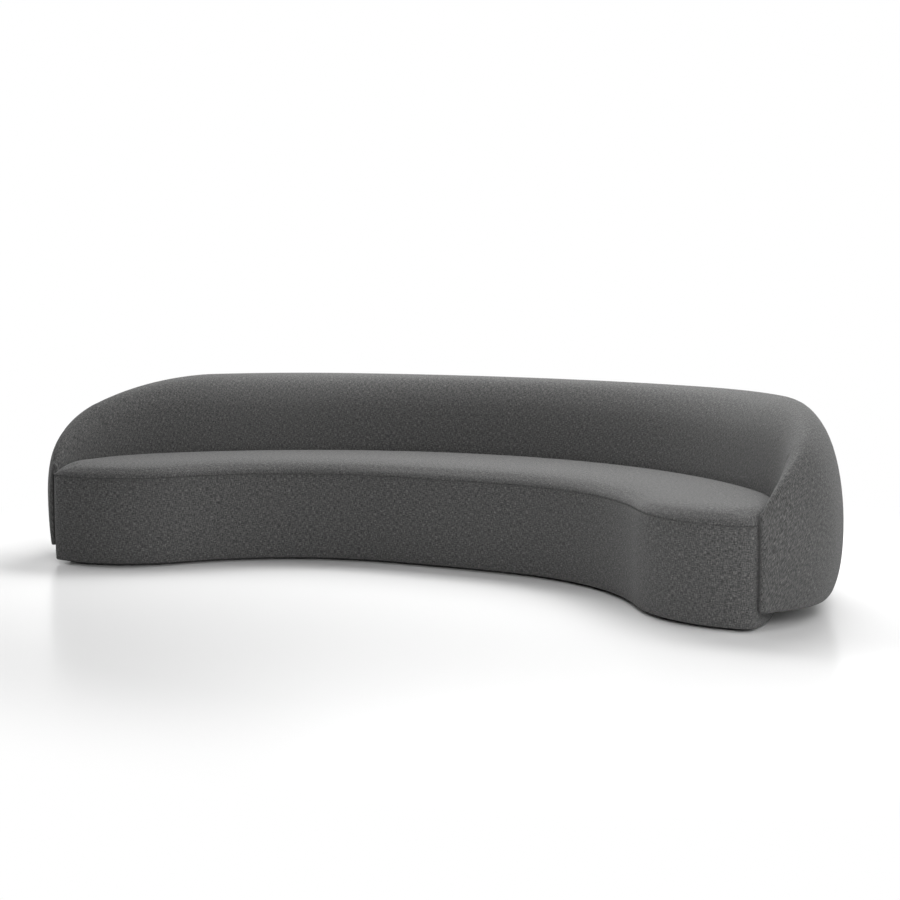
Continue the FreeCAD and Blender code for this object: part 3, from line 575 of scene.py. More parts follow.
@dataclass(frozen=True)
class Filling:
    """How the filling pushes a cover out between the lines that hold it."""

    pressure: float = 4.0
    most: float = 0.003
    steps: int = 20
    quality: int = 4
    tension: float = 25.0

    def settle(self, obj: bpy.types.Object, held: Array) -> None:
        """Inflate a cover with a cloth simulation and keep its result in the mesh.

        Args:
            obj: The cover, whose points move outwards.
            held: For each point, 1 where the cover is held and 0 where it is free.
        """
        rest = read_points(obj.data)
        group = obj.vertex_groups.new(name="Held")
        for level in np.unique(held):
            group.add(np.flatnonzero(held == level).tolist(), float(level), "REPLACE")
        cloth = obj.modifiers.new("Filling", "CLOTH")
        settings = cloth.settings
        settings.quality = self.quality
        settings.vertex_group_mass = group.name
        settings.use_pressure = True
        settings.uniform_pressure_force = self.pressure
        settings.tension_stiffness = self.tension
        settings.compression_stiffness = self.tension
        settings.effector_weights.gravity = 0.0
        cloth.collision_settings.use_collision = False
        cloth.point_cache.frame_start = 1
        cloth.point_cache.frame_end = self.steps
        scene = bpy.context.scene
        for frame in range(1, self.steps + 1):
            scene.frame_set(frame)
        evaluated = obj.evaluated_get(bpy.context.evaluated_depsgraph_get())
        moved = read_points(evaluated.data) - rest
        obj.modifiers.remove(cloth)
        obj.vertex_groups.remove(group)
        scene.frame_set(1)
        reach = np.linalg.norm(moved, axis=1)[:, None]
        share = self.most * np.tanh(reach / self.most) / np.maximum(reach, TINY)
        obj.data.vertices.foreach_set("co", (rest + moved * share).reshape(-1))
        obj.data.update()
        LOG.info("%s: filled, largest move %.4f m", obj.name, float((reach * share).max()))


def thicken(obj: bpy.types.Object, thickness: float) -> None:
    """Give an open sheet its thickness towards the inside, and keep the result in the mesh."""
    wall = obj.modifiers.new("Thickness", "SOLIDIFY")
    wall.thickness = thickness
    wall.offset = -1
    wall.use_even_offset = False
    bake_modifiers(obj)


def bake_modifiers(obj: bpy.types.Object) -> None:
    """Replace an object's mesh by what its modifiers make, and remove them."""
    graph = bpy.context.evaluated_depsgraph_get()
    result = bpy.data.meshes.new_from_object(obj.evaluated_get(graph), depsgraph=graph)
    obj.modifiers.clear()
    obj.data = result


class Body(Enum):
    """The rigid bodies of the sofa."""

    SOFA = "root"


def dress(
    obj: bpy.types.Object, finish: "Finish", replaced: tuple[str, ...]
) -> None:
    """Give a piece its finish and tie it to the solids.

    Args:
        obj: The finished piece.
        finish: What it is made of.
        replaced: Solids that the piece stands for.
    """
    obj.data.materials.clear()
    obj.data.materials.append(finish.material())
    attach(obj, Body.SOFA.value)
    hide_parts(*replaced)
    LOG.info("%s: %d faces", obj.name, len(obj.data.polygons))


def linear(code: str) -> tuple[float, float, float, float]:
    """An sRGB colour written as six hex digits, in linear light.

    Args:
        code: The colour, such as "4a4a48".

    Returns:
        Red, green, blue and an alpha of one.
    """
    parts = [int(code[index : index + 2], 16) / 255 for index in (0, 2, 4)]
    light = [part / 12.92 if part <= 0.04045 else ((part + 0.055) / 1.055) ** 2.4 for part in parts]
    return (*light, 1.0)


def feed(tree: bpy.types.NodeTree, node: Any, inputs: dict) -> None:
    """Feed the inputs of a node.

    Args:
        tree: The tree that holds the node.
        node: The node.
        inputs: Values or sockets by the name or index of the input that they feed.
    """
    for key, value in inputs.items():
        if isinstance(value, bpy.types.NodeSocket):
            tree.links.new(value, node.inputs[key])
        else:
            node.inputs[key].default_value = value


def add_node(
    tree: bpy.types.NodeTree, kind: str, inputs: dict | None = None, **settings: Any
) -> Any:
    """Add a node with its settings and links.

    Args:
        tree: The tree that gets the node.
        kind: The node's type name.
        inputs: Values or sockets, as feed takes them.
        settings: Attributes of the node.

    Returns:
        The node.
    """
    node = tree.nodes.new(kind)
    for key, value in settings.items():
        setattr(node, key, value)
    feed(tree, node, inputs or {})
    return node


def empty_tree(owner: Any) -> bpy.types.NodeTree:
    """The node tree of a new material or world, without the nodes that it starts with."""
    owner.use_nodes = True
    owner.node_tree.nodes.clear()
    return owner.node_tree


def raised(tree: bpy.types.NodeTree, height: Any, strength: float, distance: float) -> Any:
    """The normal socket of a relief with a strength and a largest height."""
    inputs = {"Height": height, "Strength": strength, "Distance": distance}
    return add_node(tree, "ShaderNodeBump", inputs).outputs["Normal"]


def colour_ramp(tree: bpy.types.NodeTree, fac: Any, stops: list[tuple[float, str]]) -> Any:
    """Colours spread over a value.

    Args:
        tree: The tree that gets the ramp.
        fac: The socket that picks the colour.
        stops: Places from 0 to 1 with their sRGB hex colours.

    Returns:
        The colour socket.
    """
    ramp = add_node(tree, "ShaderNodeValToRGB", {"Fac": fac})
    elements = ramp.color_ramp.elements
    while len(elements) < len(stops):
        elements.new(0.5)
    for element, (place, code) in zip(elements, stops):
        element.position = place
        element.color = linear(code)
    return ramp.outputs["Color"]


class Finish:
    """A finish that makes its material once."""

    name: str

    def material(self) -> bpy.types.Material:
        """The material, made on first use."""
        material = bpy.data.materials.get(self.name)
        if material is None:
            material = bpy.data.materials.new(self.name)
            tree = empty_tree(material)
            shader = add_node(tree, "ShaderNodeBsdfPrincipled")
            add_node(tree, "ShaderNodeOutputMaterial", {"Surface": shader.outputs["BSDF"]})
            feed(tree, shader, self.looks(tree))
        return material

    def looks(self, tree: bpy.types.NodeTree) -> dict[str, Any]:
        """Add the nodes of the finish and say what feeds the shader, by its input's name."""
        raise NotImplementedError


@dataclass(frozen=True)
class HeatherWeave(Finish):
    """Charcoal heather upholstery weave.

    Dark and pale staple fibres are blended before spinning, so each yarn changes shade every few
    centimetres and the plain weave shows as short upright and level dashes. The real yarns are
    about 1 mm wide; they are drawn in bundles, because one yarn is too fine to show.
    """

    name: str = "Charcoal heather wool weave"
    yarn_pitch: float = 0.0026
    dash_width: float = 0.0029
    dash_length: float = 0.0150
    dark: str = "2b2b2b"
    middle: str = "454545"
    pale: str = "6e6d6b"
    dark_at: float = 0.30
    pale_at: float = 0.74
    over_share: float = 0.3
    dash_softness: float = 0.6
    relief: float = 0.0006
    relief_strength: float = 0.5
    roughness: float = 0.92
    shine: float = 0.2
    sheen: float = 0.105
    sheen_spread: float = 0.5

    def dashes(self, tree: bpy.types.NodeTree, place: Any, width: float, length: float) -> Any:
        """Shade of the yarns of one direction.

        Args:
            tree: The tree that gets the nodes.
            place: Pattern coordinates in metres.
            width: Size of a dash along U.
            length: Size of a dash along V.

        Returns:
            A socket with values about one half.
        """
        scale = (1 / width, 1 / length, 1.0)
        spread = add_node(tree, "ShaderNodeMapping", {"Vector": place, "Scale": scale})
        inputs = {
            "Vector": spread.outputs["Vector"],
            "Scale": 1.0,
            "Detail": 1.0,
            "Roughness": self.dash_softness,
        }
        return add_node(tree, "ShaderNodeTexNoise", inputs, noise_dimensions="2D").outputs["Fac"]

    def mixed(self, tree: bpy.types.NodeTree, factor: Any, first: Any, second: Any) -> Any:
        """A value between two others."""
        inputs = {"Factor": factor, "A": first, "B": second}
        return add_node(tree, "ShaderNodeMix", inputs, data_type="FLOAT").outputs["Result"]

    def ridge(self, tree: bpy.types.NodeTree, across: Any) -> Any:
        """Round ridges, one for each yarn across a direction."""
        found = across
        for step, other in (("MULTIPLY", {1: math.pi}), ("SINE", {}), ("ABSOLUTE", {})):
            found = add_node(tree, "ShaderNodeMath", {0: found, **other}, operation=step).outputs[0]
        return found

    def looks(self, tree: bpy.types.NodeTree) -> dict[str, Any]:
        """Yarn shade from two crossed sets of dashes, relief from the weave."""
        place = add_node(tree, "ShaderNodeUVMap", uv_map="Weave").outputs["UV"]
        warp = self.dashes(tree, place, self.dash_width, self.dash_length)
        weft = self.dashes(tree, place, self.dash_length, self.dash_width)
        scale = (1 / self.yarn_pitch,) * 3
        yarn = add_node(tree, "ShaderNodeMapping", {"Vector": place, "Scale": scale}).outputs[0]
        over = add_node(tree, "ShaderNodeTexChecker", {"Vector": yarn, "Scale": 1.0}).outputs["Fac"]
        both = self.mixed(tree, 0.5, warp, weft)
        top = self.mixed(tree, over, warp, weft)
        stops = [(self.dark_at, self.dark), (0.5, self.middle), (self.pale_at, self.pale)]
        parts = add_node(tree, "ShaderNodeSeparateXYZ", {"Vector": yarn}).outputs
        ridges = [self.ridge(tree, parts[axis]) for axis in ("X", "Y")]
        height = self.mixed(tree, over, *ridges)
        return {
            "Base Color": colour_ramp(tree, self.mixed(tree, self.over_share, both, top), stops),
            "Normal": raised(tree, height, self.relief_strength, self.relief),
            "Roughness": self.roughness,
            "Specular IOR Level": self.shine,
            "Sheen Weight": self.sheen,
            "Sheen Roughness": self.sheen_spread,
        }


@dataclass(frozen=True)
class Mottled(Finish):
    """A finish in two shades that follow cells of noise, with a little relief."""

    name: str
    pale: str
    dark: str
    roughness: float
    cell: float
    relief: float = 0.0004
    relief_strength: float = 0.6
    stretch: float = 1.0
    edge: float = 0.35
    detail: float = 3.0
    warp: float = 0.0
    uneven: float = 0.0
    metallic: float = 0.0

    def looks(self, tree: bpy.types.NodeTree) -> dict[str, Any]:
        """Two shades over the noise, and its relief or an uneven roughness."""
        place = add_node(tree, "ShaderNodeTexCoord").outputs["Object"]
        scale = (1 / self.cell / self.stretch, 1 / self.cell, 1 / self.cell)
        spread = add_node(tree, "ShaderNodeMapping", {"Vector": place, "Scale": scale}).outputs[0]
        inputs = {"Vector": spread, "Scale": 1.0, "Detail": self.detail, "Distortion": self.warp}
        noise = add_node(tree, "ShaderNodeTexNoise", inputs).outputs["Fac"]
        stops = [(self.edge, self.dark), (1 - self.edge, self.pale)]
        found = {"Base Color": colour_ramp(tree, noise, stops), "Metallic": self.metallic}
        if self.uneven:
            low, high = self.roughness - self.uneven, self.roughness + self.uneven
            inputs = {"Value": noise, "To Min": low, "To Max": high}
            found["Roughness"] = add_node(tree, "ShaderNodeMapRange", inputs).outputs["Result"]
        else:
            found["Roughness"] = self.roughness
            found["Normal"] = raised(tree, noise, self.relief_strength, self.relief)
        return found


@dataclass(frozen=True)
class Grained(Mottled):
    """Wood, cut or peeled: growth rings stretched along one axis, with fine pores.

    The stretch makes long pale and dark streaks; a stain or paint closes the pores and darkens.
    """

    cell: float = 0.012
    relief_strength: float = 0.25
    stretch: float = 14.0
    edge: float = 0.32
    detail: float = 6.0
    warp: float = 0.6


@dataclass(frozen=True)
class Fibrous(Mottled):
    """Felted, foamed or bonded stuff: a fine random cell or fibre pattern with no shine."""


@dataclass(frozen=True)
class DrawnSteel(Mottled):
    """Drawn or pressed steel, oiled or zinc plated: bright metal with a slightly uneven skin."""

    cell: float = 0.006
    edge: float = 0.3
    detail: float = 4.0
    uneven: float = 0.08
    metallic: float = 1.0


WEAVE = HeatherWeave()
BIRCH_PLYWOOD = Grained("Birch plywood, sanded", "d8b98c", "b48f5f", 0.62)
PLANED_BEECH = Grained("Planed beech", "cfa277", "ab7a4e", 0.5, cell=0.008, stretch=20.0)
BLACK_PLINTH = Grained("Black stained beech", "1b1a19", "0e0d0d", 0.55)
SEAT_FOAM = Fibrous("Polyurethane foam", "e6d9ae", "cbbb8a", 0.95, 0.0016)
NEEDLED_FELT = Fibrous("Needled grey felt", "8b8985", "5b5a57", 0.95, 0.0030)
BLACK_LINING = Fibrous("Black spun-bonded polypropylene", "1d1d1d", "101010", 0.8, 0.0012, 0.0002)
NYLON = Fibrous("Moulded black nylon", "222222", "191919", 0.45, 0.0008, 0.0001)
SPRING_STEEL = DrawnSteel("Oiled spring steel", "6d6d70", "48484b", 0.38)
ZINC_STEEL = DrawnSteel("Zinc plated steel", "c4c3bd", "9c9b96", 0.34)


def plan_uv(points: Array) -> Array:
    """Plan coordinates of a grid of points, with the first row and column once more at the end."""
    return np.pad(points[..., :2], ((0, 1), (0, 1), (0, 0)), mode="wrap")


def pad(name: str, grid: tuple[Array, Array], solid: str, wall: float = 0.0, **wraps: bool) -> None:
    """Make a foam piece from a grid of points.

    Args:
        name: Name of the piece.
        grid: The points and their pattern coordinates, as grid_object takes them.
        solid: The solid that the piece stands for.
        wall: Thickness of the foam, or zero where the grid closes round it.
        wraps: Which ways the grid is closed, as grid_object takes them.
    """
    obj = grid_object(name, *grid, **wraps)
    clean_mesh(obj, cap_ends=wall > 0)
    if wall > 0:
        thicken(obj, wall)
    dress(obj, SEAT_FOAM, (solid,))


@dataclass
class SeatUnit:
    """The seat: a crowned top and a band that meet at one seam, over foam."""

    plan: SeatPlan
    seam: float = 0.368
    draw: float = 0.003
    seam_fold: tuple[tuple[float, float], ...] = (
        (0.0075, 0.0), (0.0042, 0.0001), (0.0020, 0.0007), (0.0006, 0.0020),
    )
    seam_lift: float = 0.004
    front_run: float = 0.170
    rear_run: float = 0.020
    nose_run: float = 0.060
    nose_reach: float = 0.45
    crown_power: float = 2.6
    edge_samples: int = 161
    foam_level: float = 0.299
    foam_rows: int = 9
    fold_room: float = 0.009
    pad_thick: float = 0.023
    pad_bottom: float = 0.035
    pad_edge: float = 0.004
    band_bottom: float = 0.014
    band_turn: tuple[tuple[float, float], ...] = (
        (0.045, 0.0), (0.030, 0.0), (0.016, 0.0), (0.009, 0.0004), (0.005, 0.002), (0.0033, 0.005),
    )
    band_margin: float = 0.008
    band_steps: int = 13
    swell_power: float = 0.7
    seam_hold: float = 0.006
    hem_hold: float = 0.010
    top_filling: Filling = Filling()
    band_filling: Filling = Filling(most=0.002)
    stations: int = 120
    nose_crowding: float = 1.4
    full_width: float = 0.40
    front_steps: tuple[float, ...] = (
        0.0008, 0.0025, 0.005, 0.009, 0.014, 0.020, 0.028, 0.038, 0.050, 0.065, 0.085, 0.110, 0.140,
    )
    rear_steps: tuple[float, ...] = (0.070, 0.045, 0.028, 0.018, 0.011, 0.006, 0.0025, 0.0008)
    middle_steps: int = 9

    @property
    def shares(self) -> Array:
        """Station places as shares of the half length, closer together at the nose."""
        steps = np.linspace(0, 1, self.stations + 1)
        return 1 - (1 - steps) ** self.nose_crowding

    def rise(self, points: Array, inset: float) -> Array:
        """Height share of the crown, from 0 at the edge to 1 where it is full.

        Args:
            points: Plan points, one per row.
            inset: Inset of the edge where the crown starts.

        Returns:
            One share per point.
        """
        front, rear = self.plan.runs(inset, np.linspace(0, 1, self.edge_samples))
        noses = [np.linalg.norm(points - nose, axis=1) for nose in (front[0], front[-1])]
        away = np.clip(np.minimum(*noses) / self.nose_reach, 0, 1)
        rear_run = self.nose_run + (self.rear_run - self.nose_run) * away**2 * (3 - 2 * away)
        share = np.ones(len(points))
        for line, run in ((front, self.front_run), (rear, rear_run)):
            part = np.clip(distance_to_line(points, line) / run, 0, 1)
            share *= np.sqrt(1 - (1 - part) ** self.crown_power)
        return share

    def top_grid(self, skin: float) -> Array:
        """Points of the seat's top face, by cross step and station.

        Args:
            skin: How far the face lies under the cover's face.

        Returns:
            Grid of points, cross steps by stations by 3.
        """
        inset = self.draw + skin
        base = self.seam + self.seam_lift
        front, rear = self.plan.runs(inset, self.shares)
        span = rear - front
        width = np.linalg.norm(span, axis=1)
        unit = span / np.maximum(width, TINY)[:, None]
        squeeze = np.minimum(1.0, width / self.full_width)
        places = [np.zeros_like(width)]
        places += [step * squeeze for step in self.front_steps]
        first = places[-1]
        last = width - self.rear_steps[0] * squeeze
        for step in range(1, self.middle_steps + 1):
            places.append(first + (last - first) * step / (self.middle_steps + 1))
        places += [width - step * squeeze for step in self.rear_steps]
        places.append(width)
        plan_points = np.stack([front + unit * place[:, None] for place in places])
        share = self.rise(plan_points.reshape(-1, 2), inset).reshape(plan_points.shape[:2])
        share[:, [0, -1]] = 0.0
        share[[0, -1]] = 0.0
        heights = base + (SEAT_CROWN - skin - base) * share
        return np.concatenate([plan_points, heights[..., None]], axis=2)

    def hem_rows(self, inset: float, height: float) -> tuple[Array, Array]:
        """Rows of points along the front and rear lines at an inset and a height."""
        lines = self.plan.runs(inset, self.shares)
        rows = [np.column_stack([line, np.full(len(line), height)]) for line in lines]
        return rows[0], rows[1]

    def ring_grid(self, profile: Array) -> Array:
        """Closed rings of points round the seat, one for each inset and height of a profile."""
        rings = [(self.plan.ring(inset), height) for inset, height in profile]
        return np.stack([np.column_stack([ring, np.full(len(ring), at)]) for ring, at in rings])

    def build_top(self) -> None:
        """The cover of the seat top, turned in at its seam."""
        rows = [(self.draw + depth, self.seam + rise) for depth, rise in self.seam_fold]
        hems = [self.hem_rows(*row) for row in rows]
        front, rear = [hem[0] for hem in hems], [hem[1] for hem in hems[::-1]]
        points = np.concatenate([np.stack(front), self.top_grid(0.0), np.stack(rear)])
        uv = points[..., :2].copy()
        drop = SEAT_CROWN - points[..., 2]
        half = len(points) // 2
        uv[:half, :, 1] -= drop[:half]
        uv[half:, :, 1] += drop[half:]
        obj = grid_object("seat_top_cloth", points, uv)
        clean_mesh(obj)
        held = read_points(obj.data)[:, 2] < self.seam + self.seam_hold
        self.top_filling.settle(obj, held.astype(float))
        thicken(obj, COVER)
        dress(obj, WEAVE, ("seat_top_cover",))

    def band_profile(self) -> Array:
        """Inset and height of the band's face, from the turned edge below up to the seam."""
        low, margin = self.band_bottom, self.band_margin
        rows = [(inset, low + rise) for inset, rise in self.band_turn]
        for step in range(1, self.band_steps):
            share = step / self.band_steps
            swell = math.sin(math.pi * share) ** self.swell_power
            height = low + margin + (self.seam - low - 2 * margin) * share
            rows.append((self.draw * (1 - swell), height))
        rows += [(self.draw + depth, self.seam - rise) for depth, rise in self.seam_fold[::-1]]
        return np.array(rows)

    def build_band(self) -> None:
        """The cover of the band round the seat, from the seam to the edge under the base."""
        profile = self.band_profile()
        points = self.ring_grid(profile)
        around = run_lengths(np.concatenate([points[-1], points[-1, :1]]))
        up = run_lengths(profile)
        uv = np.stack(np.broadcast_arrays(around[None, :], up[:, None]), axis=-1)
        obj = grid_object("seat_band_cloth", points, uv, wrap_columns=True)
        clean_mesh(obj)
        height = read_points(obj.data)[:, 2]
        above, below = self.seam - self.seam_hold, self.band_bottom + self.hem_hold
        self.band_filling.settle(obj, ((height > above) | (height < below)).astype(float))
        thicken(obj, COVER)
        dress(obj, WEAVE, ("band_cover",))

    def build_foam(self) -> None:
        """The seat's foam block under its cover, clear of the folds of the seam."""
        skin = COVER + self.fold_room
        front, rear = self.hem_rows(self.draw + skin, self.foam_level)
        bottom = [rear + (front - rear) * share for share in np.linspace(0, 1, self.foam_rows)]
        points = np.concatenate([self.top_grid(skin), np.stack(bottom)])
        pad("seat_foam_block", (points, plan_uv(points)), "seat_foam", wrap_rows=True)

    def build_band_pad(self) -> None:
        """The foam strip under the band, its edges rounded."""
        low, high, edge = self.pad_bottom, self.foam_level, self.pad_edge
        outer, inner = FOAM_SKIN, FOAM_SKIN + self.pad_thick
        profile = [
            (outer, low + edge),
            (outer, (low + high) / 2),
            (outer, high - edge),
            (outer + edge, high),
            (inner - edge, high),
            (inner, high - edge),
            (inner, low + edge),
            (inner - edge, low),
            (outer + edge, low),
        ]
        points = self.ring_grid(np.array(profile))
        grid = (points, plan_uv(points))
        pad("seat_band_pad", grid, "band_foam", wrap_rows=True, wrap_columns=True)

    def build(self) -> None:
        """Make every piece of the seat unit."""
        self.build_top()
        self.build_band()
        self.build_foam()
        self.build_band_pad()


@dataclass
class BackUnit:
    """The back: one padded shell that wraps the seat and falls to a low arm at each end."""

    plan: BackPlan
    lip: float = 0.013
    lip_steps: int = 6
    foam_thick: float = 0.008
    level_stations: int = 62
    fall_stations: int = 76
    least_step: float = 0.002
    slot_hold: float = 0.004
    foot_hold: float = 0.02
    tip_hold: float = 0.12
    crest_hold: float = 0.002
    filling: Filling = Filling(most=0.0025)

    def places(self, stop: float) -> list[float]:
        """Distances of the stations from the middle to a stop, closer together at the arm tip."""
        level = self.plan.length - self.plan.fall_length
        found = [level * step / self.level_stations for step in range(self.level_stations)]
        for step in range(self.fall_stations + 1):
            angle = math.pi / 2 * step / self.fall_stations
            place = level + self.plan.fall_length * math.sin(angle)
            if place < stop - self.least_step:
                found.append(place)
        return found + [stop]

    def shell(self, face: float, low: float, stop: float, lip: float) -> tuple[Array, Array]:
        """Grid of the shell from the left end to the right end.

        Args:
            face: How far the padded faces are moved in.
            low: How far the underside and the face beside the seat are moved in.
            stop: Distance of the last full section from the middle.
            lip: Rounding of the end, or zero.

        Returns:
            The points, stations by section steps by 3, and their pattern coordinates.
        """
        marks = self.places(stop)
        rows = [BackSection(self.plan, place).points(face, low) for place in marks]
        section = BackSection(self.plan, stop)
        for step in range(1, self.lip_steps + 1 if lip > 0 else 0):
            angle = math.pi / 2 * step / self.lip_steps
            drawn = lip * (1 - math.cos(angle))
            rows.append(section.points(face + drawn, low + drawn, lip * math.sin(angle)))
            marks.append(stop + lip * angle)
        right = np.stack(rows)
        left = right[:0:-1] * [-1, 1, 1]
        points = np.concatenate([left, right])
        along = np.concatenate([-np.array(marks[:0:-1]), marks])
        closed = np.concatenate([points, points[:, :1]], axis=1)
        crest = section.crest_index
        lengths = np.stack([run_lengths(loop) for loop in closed])
        across = lengths - lengths[:, crest : crest + 1]
        uv = np.stack(np.broadcast_arrays(along[:, None], across), axis=-1)
        return points, uv

    def held(self, obj: bpy.types.Object, crest: Array) -> Array:
        """Where the cover is held: under the shell, beside the seat, at the tips and the crest.

        Args:
            obj: The cover.
            crest: Plan points along the crest, from the left end to the right end.

        Returns:
            One number per point, 1 where it is held and 0 where it is free.
        """
        place = read_points(obj.data)
        flat = place[:, :2]
        tips = [np.linalg.norm(flat - crest[end], axis=1) for end in (0, -1)]
        beside = distance_to_line(flat, self.plan.seat.ring(-self.plan.gap)) < self.slot_hold
        low = place[:, 2] < self.plan.bottom + self.foot_hold
        on_crest = distance_to_line(flat, crest) < self.crest_hold
        return (beside | low | (np.minimum(*tips) < self.tip_hold) | on_crest).astype(float)

    def build_cover(self) -> None:
        """The cover of the whole back."""
        stop = self.plan.length - self.lip
        points, uv = self.shell(0.0, 0.0, stop, self.lip)
        obj = grid_object("back_cloth", points, uv, wrap_columns=True)
        clean_mesh(obj, cap_ends=True)
        crest = self.shell(0.0, 0.0, stop, 0.0)[0][:, BackSection(self.plan, stop).crest_index, :2]
        self.filling.settle(obj, self.held(obj, crest))
        thicken(obj, COVER)
        dress(obj, WEAVE, ("back_cover",))

    def build_foam(self) -> None:
        """The foam that goes round the back's frame, under the cover."""
        skin = FOAM_SKIN
        grid = self.shell(skin, skin, self.plan.length - self.lip - skin, 0.0)
        pad("back_foam_pad", grid, "back_foam", self.foam_thick, wrap_columns=True)

    def build(self) -> None:
        """Make every piece of the back unit."""
        self.build_cover()
        self.build_foam()


@dataclass
class WoodAndSprings:
    """The sofa's frame, springs and fittings, whose solids are shown as they are."""

    finishes: tuple[tuple[tuple[str, ...], Finish], ...] = (
        (("front_plinth", "rear_plinth", "left_plinth", "right_plinth"), BLACK_PLINTH),
        (("floor_glides",), NYLON),
        (("dust_cloth",), BLACK_LINING),
        (("insulator_felt",), NEEDLED_FELT),
        (("top_rail", "outer_rail", "seat_side_rail"), PLANED_BEECH),
        (("seat_spring",), SPRING_STEEL),
        (("spring_clips", "joining_"), ZINC_STEEL),
    )

    def finish_of(self, node: str) -> Finish:
        """The finish of a solid; what isn't listed is plywood."""
        for starts, finish in self.finishes:
            if node.startswith(starts):
                return finish
        return BIRCH_PLYWOOD

    def build(self, nodes: dict[str, bpy.types.Object]) -> None:
        """Dress every solid of the frame.

        Args:
            nodes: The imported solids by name.
        """
        for name, obj in nodes.items():
            obj.data.materials.clear()
            obj.data.materials.append(self.finish_of(name).material())
        LOG.info("frame and springs: %d solids dressed", len(nodes))


@dataclass(frozen=True)
class SoftLamp:
    """A soft rectangular lamp that hangs at one place and faces another."""

    name: str
    place: tuple[float, float, float]
    target: tuple[float, float, float]
    width: float
    depth: float
    power: float

    def hang(self) -> None:
        """Add the lamp to the scene."""
        data = bpy.data.lights.new(self.name, "AREA")
        data.shape = "RECTANGLE"
        data.size = self.width
        data.size_y = self.depth
        data.energy = self.power
        obj = bpy.data.objects.new(self.name, data)
        bpy.context.scene.collection.objects.link(obj)
        obj.location = self.place
        look = Vector(self.target) - Vector(self.place)
        obj.rotation_euler = look.to_track_quat("-Z", "Y").to_euler()


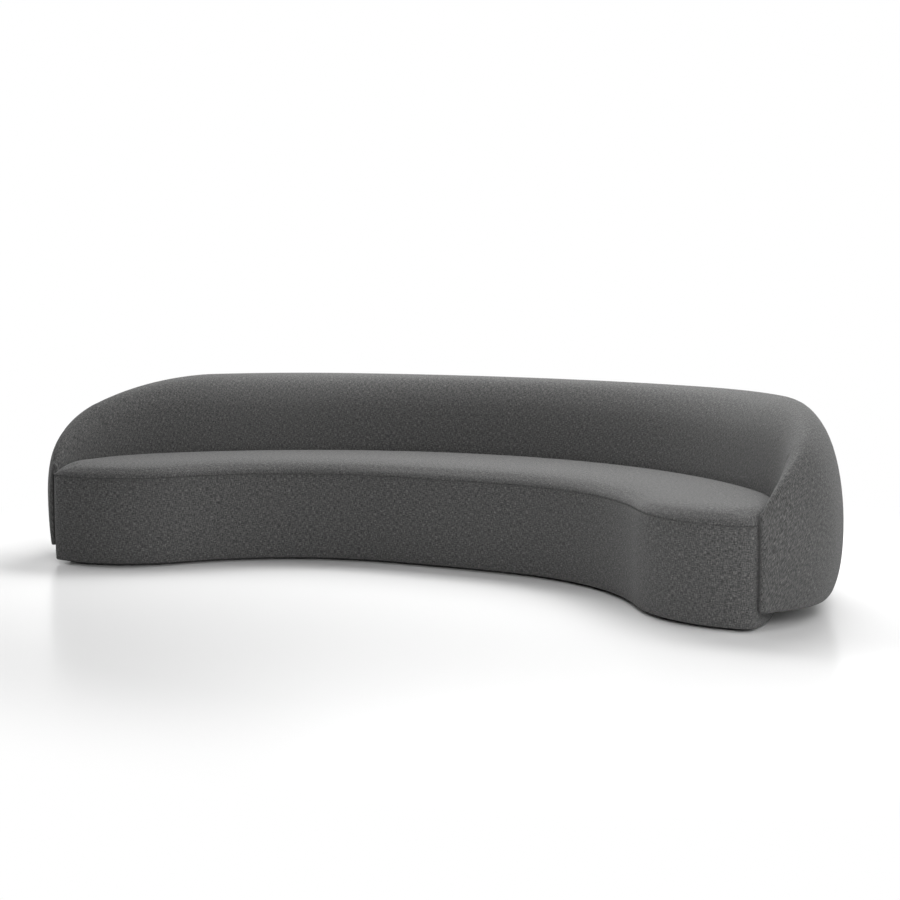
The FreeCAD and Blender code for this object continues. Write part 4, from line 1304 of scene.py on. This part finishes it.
@dataclass
class Studio:
    """A pale floor, soft lamps and the camera."""

    eye: tuple[float, float, float] = (3.5143, -6.6710, 1.3142)
    turned: float = 0.4901
    tilt: float = 0.1103
    lens: float = 73.75
    sensor: float = 36.0
    sight: float = 200.0
    floor_reach: float = 60.0
    floor_shade: str = "f1f1f1"
    floor_roughness: float = 0.22
    floor_shine: float = 0.12
    fade_middle: tuple[float, float] = (0.45, -0.30)
    fade_size: tuple[float, float] = (2.2, 1.9)
    fade_end: float = 1.5
    lamps: tuple[SoftLamp, ...] = (
        SoftLamp("Over the back", (-0.3, 2.2, 3.0), (0.0, 0.0, 0.4), 4.0, 2.0, 102.0),
        SoftLamp("Far over the back", (-0.3, 3.6, 3.2), (0.0, 0.0, 0.4), 4.0, 2.0, 23.0),
        SoftLamp("Strip over the crest", (0.0, 0.9, 2.6), (0.0, -0.2, 0.3), 4.0, 1.0, 73.0),
        SoftLamp("Front right", (3.5, -4.5, 2.0), (1.0, -0.3, 0.4), 2.0, 1.6, 179.0),
        SoftLamp("Over the right end", (3.2, -0.6, 3.0), (0.8, 0.0, 0.4), 2.0, 2.0, 34.0),
        SoftLamp("Over the left end", (-3.2, -0.4, 3.0), (-0.8, 0.0, 0.4), 2.0, 2.0, 38.0),
        SoftLamp("Left side", (-4.5, -0.5, 1.4), (-1.4, 0.0, 0.4), 1.6, 1.6, 26.0),
        SoftLamp("Right side", (4.5, -1.6, 1.2), (1.4, -0.3, 0.4), 1.6, 1.6, 17.0),
    )

    def camera(self) -> None:
        """The camera at the photograph's place."""
        data = bpy.data.cameras.new("Camera")
        data.lens = self.lens
        data.sensor_width = self.sensor
        data.clip_end = self.sight
        obj = bpy.data.objects.new("Camera", data)
        bpy.context.scene.collection.objects.link(obj)
        flat = math.cos(self.tilt)
        look = (-math.sin(self.turned) * flat, math.cos(self.turned) * flat, -math.sin(self.tilt))
        obj.location = self.eye
        obj.rotation_euler = Vector(look).to_track_quat("-Z", "Y").to_euler()
        bpy.context.scene.camera = obj

    def world(self) -> None:
        """White to the camera and to reflections, dark to everything else."""
        world = bpy.data.worlds.new("Studio")
        tree = empty_tree(world)
        path = add_node(tree, "ShaderNodeLightPath")
        seen = path.outputs["Is Camera Ray"]
        for kind in ("Is Glossy Ray", "Is Transmission Ray"):
            both = {0: seen, 1: path.outputs[kind]}
            seen = add_node(tree, "ShaderNodeMath", both, operation="MAXIMUM").outputs[0]
        sky = add_node(tree, "ShaderNodeBackground", {"Color": WHITE, "Strength": seen})
        add_node(tree, "ShaderNodeOutputWorld", {"Surface": sky.outputs["Background"]})
        bpy.context.scene.world = world

    def floor_paint(self) -> bpy.types.Material:
        """Polished white floor that keeps the shadow near the sofa and is plain white far off."""
        material = bpy.data.materials.new("White studio floor")
        tree = empty_tree(material)
        looks = {
            "Base Color": linear(self.floor_shade),
            "Roughness": self.floor_roughness,
            "Specular IOR Level": self.floor_shine,
        }
        paint = add_node(tree, "ShaderNodeBsdfPrincipled", looks)
        white = add_node(tree, "ShaderNodeEmission", {"Color": WHITE, "Strength": 1.0})
        place = add_node(tree, "ShaderNodeTexCoord").outputs["Object"]
        scale = (1 / self.fade_size[0], 1 / self.fade_size[1], 1.0)
        moved = [-middle * size for middle, size in zip(self.fade_middle, scale)]
        inputs = {"Vector": place, "Location": (*moved, 0.0), "Scale": scale}
        spread = add_node(tree, "ShaderNodeMapping", inputs).outputs[0]
        away = add_node(tree, "ShaderNodeVectorMath", {0: spread}, operation="LENGTH")
        inputs = {"Value": away.outputs["Value"], "From Min": 1.0, "From Max": self.fade_end}
        fade = add_node(tree, "ShaderNodeMapRange", inputs, interpolation_type="SMOOTHSTEP")
        seen = add_node(tree, "ShaderNodeLightPath").outputs["Is Camera Ray"]
        inputs = {0: fade.outputs["Result"], 1: seen}
        shown = add_node(tree, "ShaderNodeMath", inputs, operation="MULTIPLY").outputs[0]
        inputs = {0: shown, 1: paint.outputs[0], 2: white.outputs[0]}
        both = add_node(tree, "ShaderNodeMixShader", inputs)
        add_node(tree, "ShaderNodeOutputMaterial", {"Surface": both.outputs[0]})
        return material

    def floor(self) -> None:
        """The floor that the sofa stands on."""
        reach = self.floor_reach
        corners = [(-reach, -reach, 0), (reach, -reach, 0), (reach, reach, 0), (-reach, reach, 0)]
        mesh = bpy.data.meshes.new("Floor")
        mesh.from_pydata(corners, [], [(0, 1, 2, 3)])
        mesh.materials.append(self.floor_paint())
        obj = bpy.data.objects.new("Floor", mesh)
        bpy.context.scene.collection.objects.link(obj)

    def build(self) -> None:
        """Set the whole studio."""
        bpy.context.scene.view_settings.view_transform = "Standard"
        self.camera()
        self.world()
        self.floor()
        for lamp in self.lamps:
            lamp.hang()


def main() -> None:
    """Build the sofa's pieces in order, then the studio."""
    logging.basicConfig(level=logging.INFO, format="%(message)s")
    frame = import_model()
    seat_plan = SeatPlan()
    WoodAndSprings().build(frame["nodes"])
    SeatUnit(seat_plan).build()
    BackUnit(BackPlan(seat_plan)).build()
    Studio().build()


if __name__ == "__main__":
    main()
